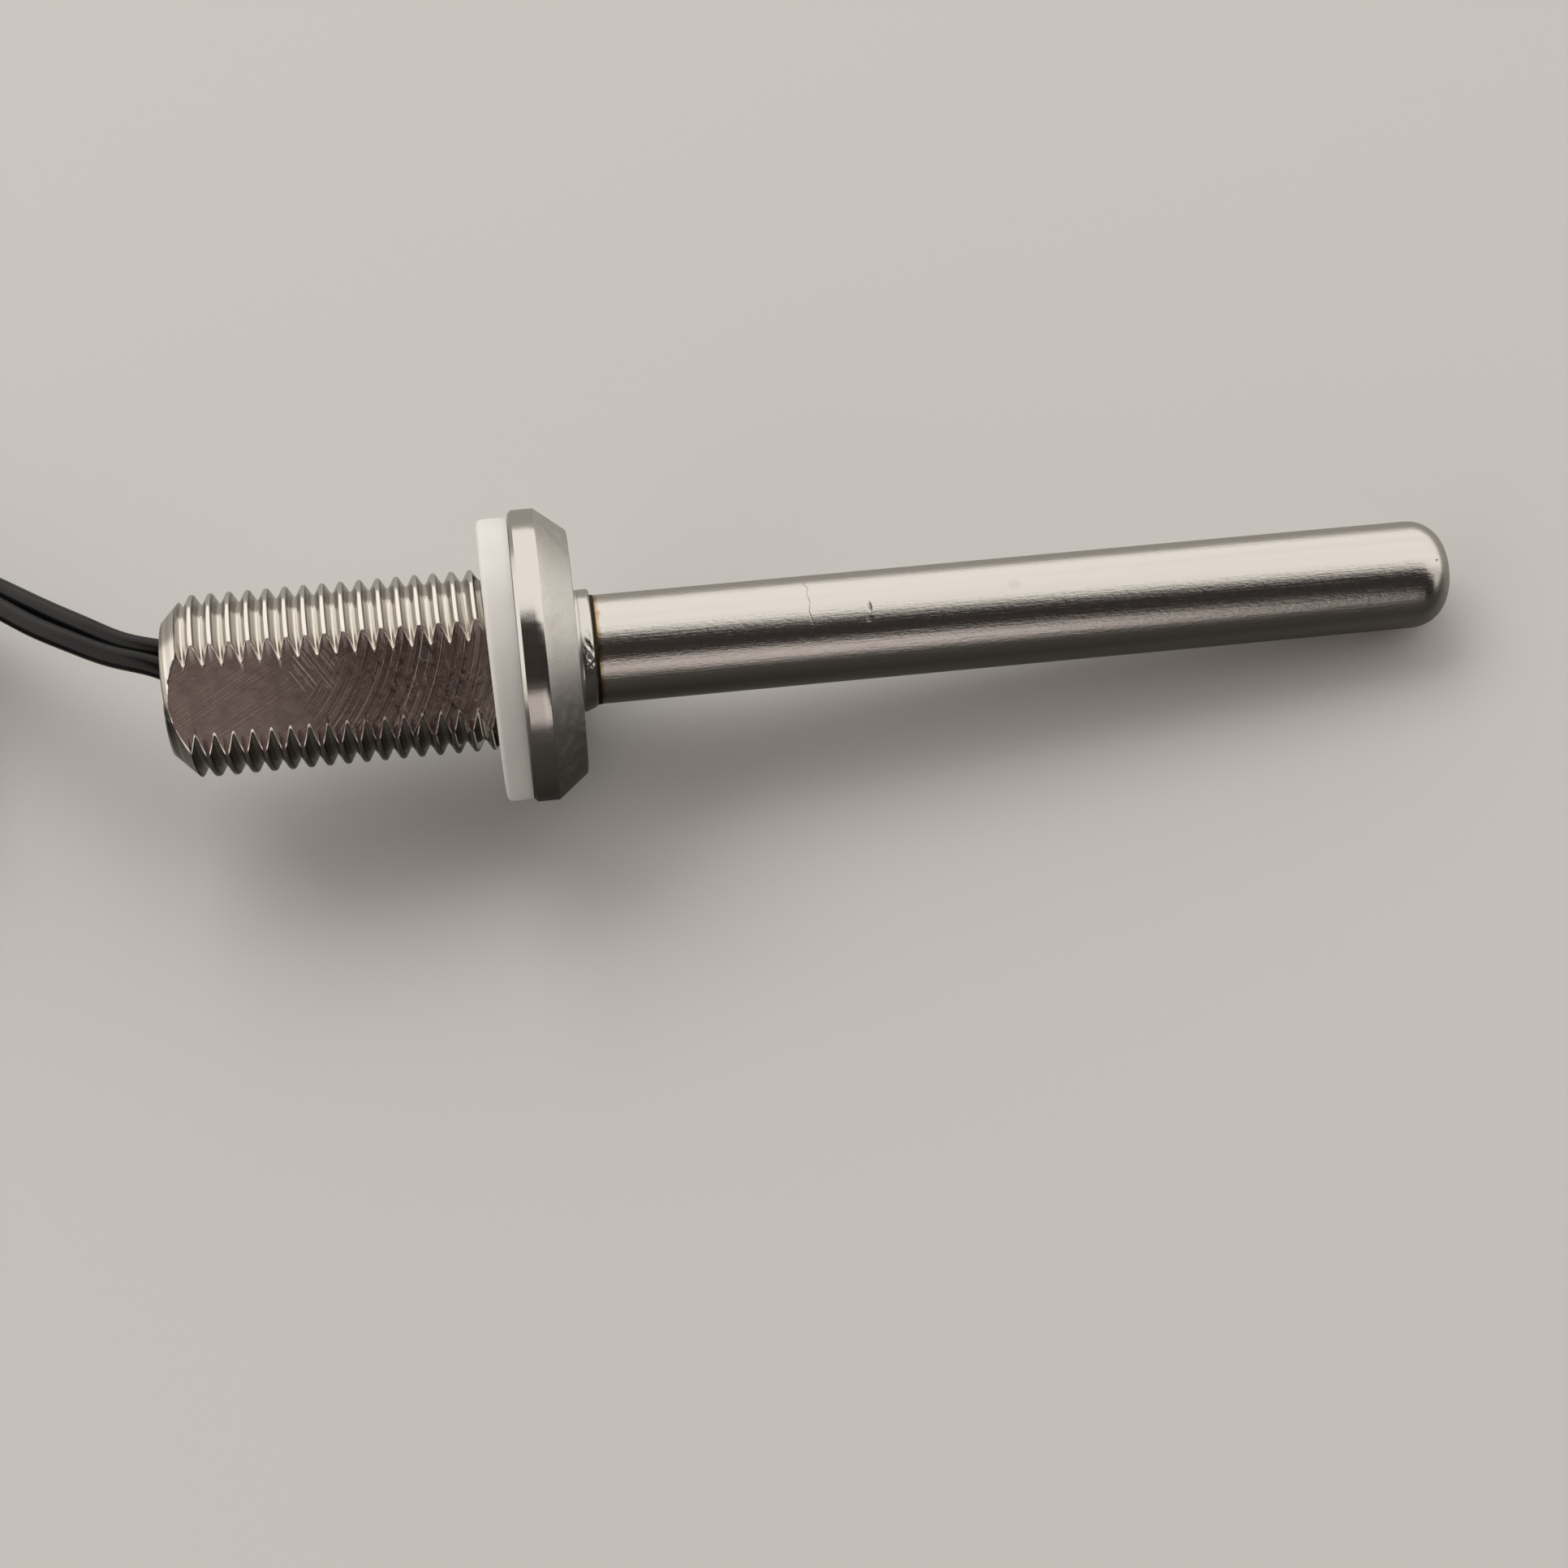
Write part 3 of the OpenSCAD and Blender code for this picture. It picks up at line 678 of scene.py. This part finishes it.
thick, corner, outer, inner = ring["thickness"], ring["round"], ring["outer"], ring["inner"]
ringProfile = np.vstack([
    [(0, inner), (0, (inner + outer) / 2), (0, outer - 0.05)], arc((-0.05, outer - 0.05), 0.05, 80, 0, 4),
    [(-0.35 * thick, outer), (-0.6 * thick, outer)],
    arc((corner - thick, outer - corner), corner, 0, -90, 9),
    [(-thick, (inner + outer) / 2), (-thick, inner + 0.05), (0.05 - thick, inner), (-0.5 * thick, inner)]])
points = turned(ringProfile, 128, ringSpread)
quads = gridQuads(len(ringProfile), 128, closeRows=True)
ringPiece = makePiece("sealRing", points, quads, [silicone], sharp=40)
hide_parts("sealing_ring")
print("ring made")

# --- sheath: drawn tube with a closed, rounded end ---
sheath = {
    "radius": 3.0, "wall": 0.5, "start": -8.0, "finish": 52.0, "round": 2.0, "endWall": 0.8,
    "tintFrom": 3.95, "tintTo": 4.25, "tint": (0.42, 0.27, 0.11), "scratchAt": 16.05,
}
# small marks of use: place and reach, in mm along, across and out
sheathMarks = {
    "dent": ((19.08, -0.45, 2.95), (0.15, 0.4, 0.5)),
    "dentFoot": ((19.02, -1.09, 2.8), (0.26, 0.24, 0.4)),
    "pit": ((50.87, -0.7, 2.7), (0.1, 0.1, 0.3)),
    "smudge": ((27.16, 0.1, 3.0), (0.5, 0.45, 0.6)),
    "scratch": ((15.8, 0.4, 2.9), (1.2, 1.9, 2.5)),
}
sheathSteel, tree, shader = newMaterial("sheathSteel", steel, Metallic=1.0, Roughness=0.2)
coords = probeCoords(tree)
split = parts(tree, coords)
grain = useGroup(tree, grainGroup, Vector=scaled(tree, coords, (0.5, 1.4, 1.4)), Size=6.0)
streaks = useGroup(tree, grainGroup, Vector=scaled(tree, coords, (0.03, 1.6, 1.6)), Size=5.0)
mark = {}
for name, (place, reach) in sheathMarks.items():
    mark[name] = useGroup(tree, spotGroup, Vector=coords, Place=place, Reach=reach).outputs["Mask"]
wander = addNode(tree, "ShaderNodeTexNoise")
wander.inputs["Scale"].default_value = 1.4
tree.links.new(coords, wander.inputs["Vector"])
sway = times(tree, wander.outputs["Fac"], 0.5)
offScratch = calc(tree, "ABSOLUTE", minus(tree, plus(tree, split[0], sway), sheath["scratchAt"]))
scratch = times(tree, invert(tree, step(tree, offScratch, 0.015, 0.05)), mark["scratch"])
height = plus(tree, times(tree, grain.outputs["Height"], 0.6), times(tree, streaks.outputs["Height"], 0.5))
for mask, depth in ((mark["dent"], 1.3), (mark["dentFoot"], 0.45), (scratch, 0.7), (mark["pit"], 2.0)):
    height = minus(tree, height, times(tree, mask, depth))
bump(tree, shader, height, 0.6, 0.03)
tint = invert(tree, step(tree, minus(tree, split[0], sway), sheath["tintFrom"], sheath["tintTo"]))
smudge = times(tree, mark["smudge"], grain.outputs["Height"])
colour = blend(tree, streaks.outputs["Patches"], steel, (0.665, 0.64, 0.60))
colour = blend(tree, times(tree, smudge, 0.35), colour, (0.33, 0.31, 0.28))
colour = blend(tree, times(tree, scratch, 0.5), colour, (0.25, 0.23, 0.2))
# painted shade: the dent's hollow is painted dark
colour = blend(tree, times(tree, mark["dent"], 0.6), colour, (0.16, 0.15, 0.13))
paint(tree, shader, blend(tree, tint, colour, sheath["tint"]))
roughnessBy(tree, shader, grain.outputs["Height"], 0.09, 0.22)

endRound, innerRound = sheath["round"], sheath["round"] - sheath["wall"]
outer, inner = sheath["radius"], sheath["radius"] - sheath["wall"]
cavityEnd = sheath["finish"] - sheath["endWall"]
roundStart = sheath["finish"] - endRound
sheathProfile = np.vstack([
    [(cavityEnd, 0)], arc((cavityEnd - innerRound, inner - innerRound), innerRound, 90, 0, 10),
    [(20, inner), (sheath["start"], inner), (sheath["start"], outer), (0, outer)],
    np.stack([np.linspace(4, roundStart - 0.5, 24), np.full(24, outer)], -1),
    arc((roundStart, outer - endRound), endRound, 0, 90, 20), [(sheath["finish"], 0)]])
points = turned(sheathProfile, 160)
sheathPiece = makePiece("sheathTube", points, gridQuads(len(sheathProfile), 160), [sheathSteel], sharp=30)
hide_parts("sheath")
print("sheath made")

# --- weld: a rippled bead over the neck's end, with a dark gap before the sheath ---
weldSteel, tree, shader = newMaterial("weldSteel", (0.66, 0.64, 0.61), Metallic=1.0, Roughness=0.24)
coords = probeCoords(tree)
split = parts(tree, coords)
grain = useGroup(tree, grainGroup, Vector=coords, Size=4.0)
edge = plus(tree, split[0], times(tree, grain.outputs["Height"], 0.06))
# the gap before the sheath is painted near-black: dark heat oxide, and painted shade in the gap
gapOxideAndShade = step(tree, edge, weld["finish"] - 0.02, weld["finish"] + 0.06)
paint(tree, shader, blend(tree, gapOxideAndShade, (0.68, 0.66, 0.63), (0.05, 0.04, 0.03)))
roughnessBy(tree, shader, gapOxideAndShade, 0.2, 0.6)
bump(tree, shader, grain.outputs["Height"], 0.2, 0.02)


# Ripples: waves round the bead that lean along it, strong near one turn and faint elsewhere.
# On the side away from them the bead slopes down to the sheath.
def weldSpread(along, radius, turn):
    w = weld
    fromStrong = (turn - w["strongTurn"] + 180) % 360 - 180
    size = w["height"] + w["strong"] * np.exp(-(fromStrong / w["strongReach"]) ** 2)
    proud = np.clip((along - w["start"] - 0.1) / 0.2, 0, 1) * np.clip((w["finish"] - along) / 0.1, 0, 1)
    a = np.radians(turn)
    wave = np.sin(a * w["ripples"] + 9 * along + 2.2 * np.sin(a * 7))
    cross = np.sin(a * 31 - 14 * along)
    return 0 * along, size * proud * (0.55 * wave + 0.45 * cross) - weldSlope(along, radius, turn)


start, finish, gapEnd = weld["start"], weld["finish"], weld["gapEnd"]
weldProfile = np.vstack([[(start, 3.2), (start, 3.345)],
                         np.stack([np.linspace(start + 0.04, finish - 0.16, 16), np.full(16, 3.362)], -1),
                         arc((finish - 0.16, 3.202), 0.16, 10, 80, 8),
                         [(finish, 3.12), (finish + 0.03, 3.03), (gapEnd, 3.006), (gapEnd + 0.05, 2.98),
                          (finish, 2.97), (start, 2.99)]])
points = turned(weldProfile, 480, weldSpread)
quads = gridQuads(len(weldProfile), 480, closeRows=True)
weldPiece = makePiece("weldBead", points, quads, [weldSteel], sharp=50)
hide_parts("sheath_weld")
print("weld made")

# --- leads: from the potting, out of the stud and into a coil, to their bare ends ---
leads = {
    "diameter": 1.2, "sides": 18, "spacing": 0.55, "apart": 1.8, "potting": -14.0, "length": 0.498,
    "usualHeight": 10.0, "coilAway": 25.8, "coilAside": 4.5,
    "innerTurn": 4.2, "coilPitch": 1.22, "turns": 5, "outTurns": 4.75, "tie": 0.4, "perTurn": 28,
    "routes": (
        [(2.8, -0.6, 9.9), (1.2, 0.1, 10.5), (-0.5, 1, 10.9), (-2.7, 2, 10.7), (-5.2, 3.6, 10.1),
         (-7.7, 5.5, 9.2), (-10.3, 7.8, 8.2), (-13, 10, 7.3), (-15.8, 12.1, 6.5), (-19, 13.7, 5.7),
         (-22.4, 14.6, 5), (-25.8, 14.8, 4.6)],
        [(2.6, 1.3, 9.9), (0, 2.1, 10.4), (-2.1, 2.9, 10.3), (-4.4, 4.5, 9.7), (-6.9, 6.5, 8.7),
         (-9.5, 8.7, 7.6), (-12.2, 10.9, 6.5), (-15.1, 12.8, 5.4), (-18.5, 14.1, 4.4),
         (-22.1, 14.8, 3.7), (-25.8, 14.8, 3.4)]),
    "tails": (
        [(-35.8, 4.5, 2.2), (-36.3, 2, 2.1), (-36.8, -0.6, 1.4), (-37, -3, 0.8), (-36.7, -5.4, 0.6)],
        [(-35.8, 4.5, 1), (-35.8, 2, 0.8), (-35.6, -0.6, 0.7), (-35.2, -3, 0.6), (-34.5, -5.4, 0.6)]),
    "bareLength": 5.0, "coreRadius": 0.3,
}
mouth = onProbe(-fitting["studLength"], 0, 0)


# Coil of one lead: in at the outside on the upper layer, a pitch closer with each turn, half a
# turn across to the lower layer by a cosine, and out again on that one.
def coilWay(level):
    c = leads
    outer = c["innerTurn"] + c["turns"] * c["coilPitch"]
    high = c["tie"] + (level + 2.5) * c["diameter"]
    low = c["tie"] + (level + 0.5) * c["diameter"]
    inTurns = np.arange(1, c["turns"] * c["perTurn"] + 1) / c["perTurn"]
    across = np.arange(1, 14) / 14
    outTurns = np.arange(0, int(c["outTurns"] * c["perTurn"]) + 1) / c["perTurn"]
    turn = 2 * np.pi * np.r_[0.25 + inTurns, 0.25 + c["turns"] + across / 2, 0.75 + c["turns"] + outTurns]
    radius = np.r_[outer - c["coilPitch"] * inTurns, c["innerTurn"] - 0.45 * np.sin(np.pi * across),
                   c["innerTurn"] + c["coilPitch"] * outTurns]
    height = np.r_[np.full(len(inTurns), high), high + (low - high) * (0.5 - 0.5 * np.cos(np.pi * across)),
                   np.full(len(outTurns), low)]
    x, y = mouth[0] - c["coilAway"] + radius * np.cos(turn), c["coilAside"] + radius * np.sin(turn)
    return np.stack([x, y, height], -1)


def leadWay(k):
    c = leads
    route = np.array(c["routes"][k], float)
    fade = 1 - np.arange(len(route)) / (len(route) - 1)
    route = route + np.stack([mouth[0] + 0 * fade, 0 * fade, fade * (mouth[2] - c["usualHeight"])], -1)
    start = onProbe(c["potting"], 90 - 180 * k, c["apart"] / 2)
    tail = np.array(c["tails"][k][1:], float) + (mouth[0], 0, 0)
    return np.vstack([start, route, coilWay(1 - k), tail])


jacketBlack, tree, shader = newMaterial("jacketBlack", (0.012, 0.012, 0.013), Roughness=0.3,
                                        Specular_IOR_Level=0.26)
millimetres = modelCoords(tree)
grain = useGroup(tree, grainGroup, Vector=millimetres, Size=2.2)
dust = useGroup(tree, dustGroup, Vector=millimetres, Size=2.6, Amount=0.035)
bump(tree, shader, grain.outputs["Height"], 0.1, 0.05)
colour = blend(tree, grain.outputs["Patches"], (0.004, 0.004, 0.005), (0.009, 0.009, 0.009))
paint(tree, shader, blend(tree, times(tree, dust.outputs["Mask"], 0.5), colour, (0.25, 0.25, 0.23)))
roughnessBy(tree, shader, grain.outputs["Height"], 0.14, 0.36)

tinnedCopper, tree, shader = newMaterial("tinnedCopper", (0.72, 0.71, 0.69), Metallic=1.0, Roughness=0.25)
grain = useGroup(tree, grainGroup, Vector=modelCoords(tree), Size=5.0)
bump(tree, shader, grain.outputs["Height"], 0.2, 0.02)
roughnessBy(tree, shader, grain.outputs["Height"], 0.18, 0.4)


# Twisted strands: one straight in the middle and six whose circles turn round it as they go, a
# full turn every 9 mm.
def bareStrands(end, heading):
    side = np.cross([0.0, 0.0, 1.0], heading)
    up = np.array([0.0, 0.0, 1.0])
    t = np.linspace(-0.6, leads["bareLength"], 30)[:, None]
    thin = leads["coreRadius"] / 3
    strandPoints, strandQuads, first = [], [], 0
    for k in range(7):
        a = 2 * np.pi * (k / 6 + t / 9)
        away = 0 if k == 6 else 2 * thin
        rings = tubeRings(end + t * heading + away * (np.cos(a) * side + np.sin(a) * up), thin, 8)
        strandPoints.append(rings.reshape(-1, 3))
        strandQuads.append(gridQuads(len(rings), 8, first=first))
        first += rings.shape[0] * 8
    return np.vstack(strandPoints), np.vstack(strandQuads)


for k in (0, 1):
    path = smoothWay(leadWay(k), leads["spacing"])
    rings = tubeRings(path, leads["diameter"] / 2, leads["sides"])
    piece = makePiece(f"lead{k + 1}", rings, gridQuads(len(rings), leads["sides"]), [jacketBlack], sharp=50)
    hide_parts(f"lead_{k + 1}", f"lead_tail_{k + 1}", *(["lead_coil"] if k == 0 else []))
    tail = np.array(leads["tails"][k], float)
    heading = (tail[-1] - tail[-2]) / np.linalg.norm(tail[-1] - tail[-2])
    points, quads = bareStrands(path[-1], heading)
    bare = makePiece(f"bareStrands{k + 1}", points, quads, [tinnedCopper], sharp=50)
    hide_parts(f"bare_end_{k + 1}")
    along = np.linalg.norm(np.diff(path, axis=0), axis=1).sum()
    print("lead", k + 1, "length", round(float(along), 1), "mm")

# --- tie round the coiled leads: a band that follows a rounded rectangle across the coil ---
tie = {
    "turn": 330.0, "width": 2.2, "thickness": 0.34, "corner": 0.85,
    "inside": 3.4, "outside": 11.1, "low": 0.2, "high": 5.4,
}
tieBlack, tree, shader = newMaterial("tieBlack", (0.02, 0.02, 0.021), Roughness=0.5)
grain = useGroup(tree, grainGroup, Vector=modelCoords(tree), Size=4.0)
bump(tree, shader, grain.outputs["Height"], 0.25, 0.05)
roughnessBy(tree, shader, grain.outputs["Height"], 0.4, 0.62)


# Band: the point of a rounded rectangle in the coil's upright section, moved out by the band's
# own outline, a rounded bar carried along it.
def tieBand():
    t = tie
    a = np.linspace(0, 2 * np.pi, 96, endpoint=False)
    halfWide = (t["outside"] - t["inside"]) / 2 - t["corner"]
    halfTall = (t["high"] - t["low"]) / 2 - t["corner"]
    quarter = np.floor(a / (np.pi / 2)).astype(int) % 4
    signX, signZ = np.array([1, -1, -1, 1])[quarter], np.array([1, 1, -1, -1])[quarter]
    normal = np.stack([np.cos(a), np.sin(a)], -1)
    centre = np.stack([halfWide * signX, halfTall * signZ], -1) + t["corner"] * normal
    b = np.linspace(0, 2 * np.pi, 16, endpoint=False)
    across = t["width"] / 2 * np.sign(np.cos(b)) * np.abs(np.cos(b)) ** 0.3
    out = t["thickness"] / 2 * np.sign(np.sin(b)) * np.abs(np.sin(b)) ** 0.6
    section = centre[:, None] + out[None, :, None] * normal[:, None]
    turn = math.radians(t["turn"])
    away = np.array([math.cos(turn), math.sin(turn), 0])
    aside = np.array([-math.sin(turn), math.cos(turn), 0])
    middle = np.array([mouth[0] - leads["coilAway"], leads["coilAside"], (t["low"] + t["high"]) / 2])
    outward = (t["inside"] + t["outside"]) / 2 + section[..., :1]
    return (middle + outward * away + across[None, :, None] * aside
            + section[..., 1:] * np.array([0, 0, 1.0]))


points = tieBand()
tiePiece = makePiece("coilTie", points, gridQuads(96, 16, closeRows=True), [tieBlack], sharp=50)
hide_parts("coil_tie")

print("leads made")

# --- what the probe holds inside: finishes on the CAD nodes ---
inside = {
    "potting": (0.035, 0.03, 0.027), "compound": (0.82, 0.81, 0.77), "alumina": (0.86, 0.86, 0.84),
    "glass": (0.35, 0.47, 0.55), "sleeveLight": (0.74, 0.66, 0.46), "sleeveDark": (0.5, 0.42, 0.26),
    "shrink": (0.42, 0.03, 0.025),
}


# Mottled plain finish: grain in the colour, the roughness and the surface.
def plainFinish(name, colour, second, size, low, high, **sockets):
    material, tree, shader = newMaterial(name, colour, **sockets)
    grain = useGroup(tree, grainGroup, Vector=probeCoords(tree), Size=size)
    paint(tree, shader, blend(tree, grain.outputs["Patches"], colour, second))
    bump(tree, shader, grain.outputs["Height"], 0.25, 0.04)
    roughnessBy(tree, shader, grain.outputs["Height"], low, high)
    return material


resin = plainFinish("pottingResin", inside["potting"], (0.06, 0.052, 0.045), 2.0, 0.12, 0.4)
compound = plainFinish("tipCompound", inside["compound"], (0.72, 0.70, 0.65), 5.0, 0.7, 0.95)
alumina = plainFinish("alumina", inside["alumina"], (0.80, 0.80, 0.78), 8.0, 0.4, 0.6)
coverGlass = plainFinish("coverGlass", inside["glass"], (0.28, 0.40, 0.48), 6.0, 0.05, 0.15, Coat_Weight=0.6)
shrink = plainFinish("shrinkSleeve", inside["shrink"], (0.5, 0.05, 0.04), 3.0, 0.25, 0.4)
wovenSleeve, tree, shader = newMaterial("wovenSleeve", inside["sleeveLight"], Roughness=0.7)
split = parts(tree, probeCoords(tree))
about = times(tree, calc(tree, "ARCTAN2", split[1], split[2]), 12.0)
runs = times(tree, split[0], 5.0)
oneWay, otherWay = calc(tree, "SINE", plus(tree, about, runs)), calc(tree, "SINE", minus(tree, about, runs))
weave = step(tree, times(tree, oneWay, otherWay), -0.5, 0.5)
paint(tree, shader, blend(tree, weave, inside["sleeveDark"], inside["sleeveLight"]))
bump(tree, shader, weave, 0.5, 0.1)

finishes = {
    "potting_plug": resin, "insulating_sleeve": wovenSleeve, "tip_compound": compound,
    "element_chip": alumina, "element_glass": coverGlass,
    "element_wire_1": tinnedCopper, "element_wire_2": tinnedCopper,
    "splice_crimp_1": tinnedCopper, "splice_crimp_2": tinnedCopper,
    "splice_shrink_1": shrink, "splice_shrink_2": shrink,
    "lead_core_1": tinnedCopper, "lead_core_2": tinnedCopper,
    "lead_jacket_1": jacketBlack, "lead_jacket_2": jacketBlack,
}
for name, material in finishes.items():
    mesh = cadNodes[name].data
    mesh.materials.clear()
    mesh.materials.append(material)
print("inside finished")

# --- floor, room light and lamps ---
studio = {
    "floor": (0.57, 0.565, 0.555), "floorRadius": 1.6,
    # painted reflection: the floor's colours as metal mirrors them
    "mirroredFront": (0.035, 0.033, 0.03), "mirroredRear": (0.32, 0.31, 0.295),
    "mirroredLeft": (0.9, 0.87, 0.82),
    "rear": (1.08, 1.035, 0.975), "frontLeft": (0.36, 0.315, 0.295), "frontRight": (0.76, 0.69, 0.655),
    "right": (0.66, 0.63, 0.59), "low": (0.05, 0.045, 0.042),
    "hidden": (0.032, 0.028, 0.026), "warmHidden": (0.165, 0.092, 0.076),
    # the dark patch, in degrees: its corner's place aside, its low edge, and that edge's fall
    "patchAside": 12.0, "patchLow": 56.0, "patchFall": 3.5,
}
floorMaterial, tree, shader = newMaterial("floorPaint", studio["floor"], Roughness=0.75)
place = addNode(tree, "ShaderNodeTexCoord")
split = parts(tree, place.outputs["Object"])
# painted reflection: metal mirrors the floor in painted colours, bright far to the left, grey behind towards
# the window lamp and near-black on this side, while the camera sees it plain pale
paintedMirror = blend(tree, step(tree, split[1], -0.010, 0.006), studio["mirroredFront"], studio["mirroredRear"])
paintedMirror = blend(tree, step(tree, split[0], -0.16, -0.09), studio["mirroredLeft"], paintedMirror)
ray = addNode(tree, "ShaderNodeLightPath")
paint(tree, shader, blend(tree, ray.outputs["Is Glossy Ray"], studio["floor"], paintedMirror))
a = np.linspace(0, 2 * np.pi, 96, endpoint=False)
radii = np.array([0.0, 0.05, 0.2, 0.6, 1.0])[:, None] * studio["floorRadius"]
floorPoints = np.stack([radii * np.cos(a), radii * np.sin(a), np.zeros((5, 96))], -1)
floorMesh = bpy.data.meshes.new("floor")
floorMesh.from_pydata(floorPoints.reshape(-1, 3).tolist(), [], gridQuads(5, 96)[:, ::-1].tolist())
floorMesh.materials.append(floorMaterial)
floorObject = bpy.data.objects.new("floor", floorMesh)
bpy.context.scene.collection.objects.link(floorObject)

world = bpy.data.worlds.new("room")
bpy.context.scene.world = world
world.use_nodes = True
tree = world.node_tree
back = tree.nodes["Background"]
sky = addNode(tree, "ShaderNodeTexCoord")
split = parts(tree, sky.outputs["Generated"])
# lean: degrees from straight up towards -Y; aside: degrees towards +X
lean = calc(tree, "DEGREES", calc(tree, "ARCTAN2", times(tree, split[1], -1.0), split[2]))
aside = calc(tree, "DEGREES", calc(tree, "ARCSINE", split[0]))
beside = minus(tree, aside, studio["patchAside"])
topEdge = minus(tree, lean, beside)
fall = times(tree, calc(tree, "MAXIMUM", beside, 0.0), studio["patchFall"])
lowEdge = minus(tree, lean, plus(tree, studio["patchLow"], fall))
notLeft = step(tree, aside, -40.0, -20.0)
patch = times(tree, step(tree, topEdge, -3.0, 5.0), invert(tree, step(tree, lowEdge, -4.0, 5.0)))
patch = times(tree, patch, notLeft)
patch = times(tree, patch, invert(tree, step(tree, aside, 50.0, 60.0)))
dark = blend(tree, step(tree, aside, -5.0, 1.5), studio["warmHidden"], studio["hidden"])
front = blend(tree, step(tree, aside, -6.0, 8.0), studio["frontLeft"], studio["frontRight"])
front = blend(tree, step(tree, aside, 52.0, 62.0), front, studio["right"])
front = blend(tree, step(tree, lean, 78.0, 90.0), front, studio["low"])
ahead = times(tree, step(tree, lean, 0.0, 30.0), notLeft)
room = blend(tree, patch, blend(tree, ahead, studio["rear"], front), dark)
tree.links.new(room, back.inputs["Color"])
back.inputs["Strength"].default_value = 1.0


# A soft square lamp that looks at a point near the probe.
def lamp(name, place, size, watts, colour):
    data = bpy.data.lights.new(name, "AREA")
    data.shape = "RECTANGLE"
    data.size, data.size_y = size
    data.energy = watts
    data.color = colour
    lampObject = bpy.data.objects.new(name, data)
    lampObject.location = place
    towards = Vector((-0.005, 0, 0.005)) - Vector(place)
    lampObject.rotation_euler = towards.to_track_quat("-Z", "Y").to_euler()
    lampObject.visible_glossy = False    # metal mirrors the room's own light
    bpy.context.scene.collection.objects.link(lampObject)


lamp("windowLamp", (-0.22, 0.44, 0.62), (0.6, 0.4), 2.7, (1.0, 0.97, 0.93))
print("room made")

bpy.context.scene.view_settings.view_transform = "Standard"
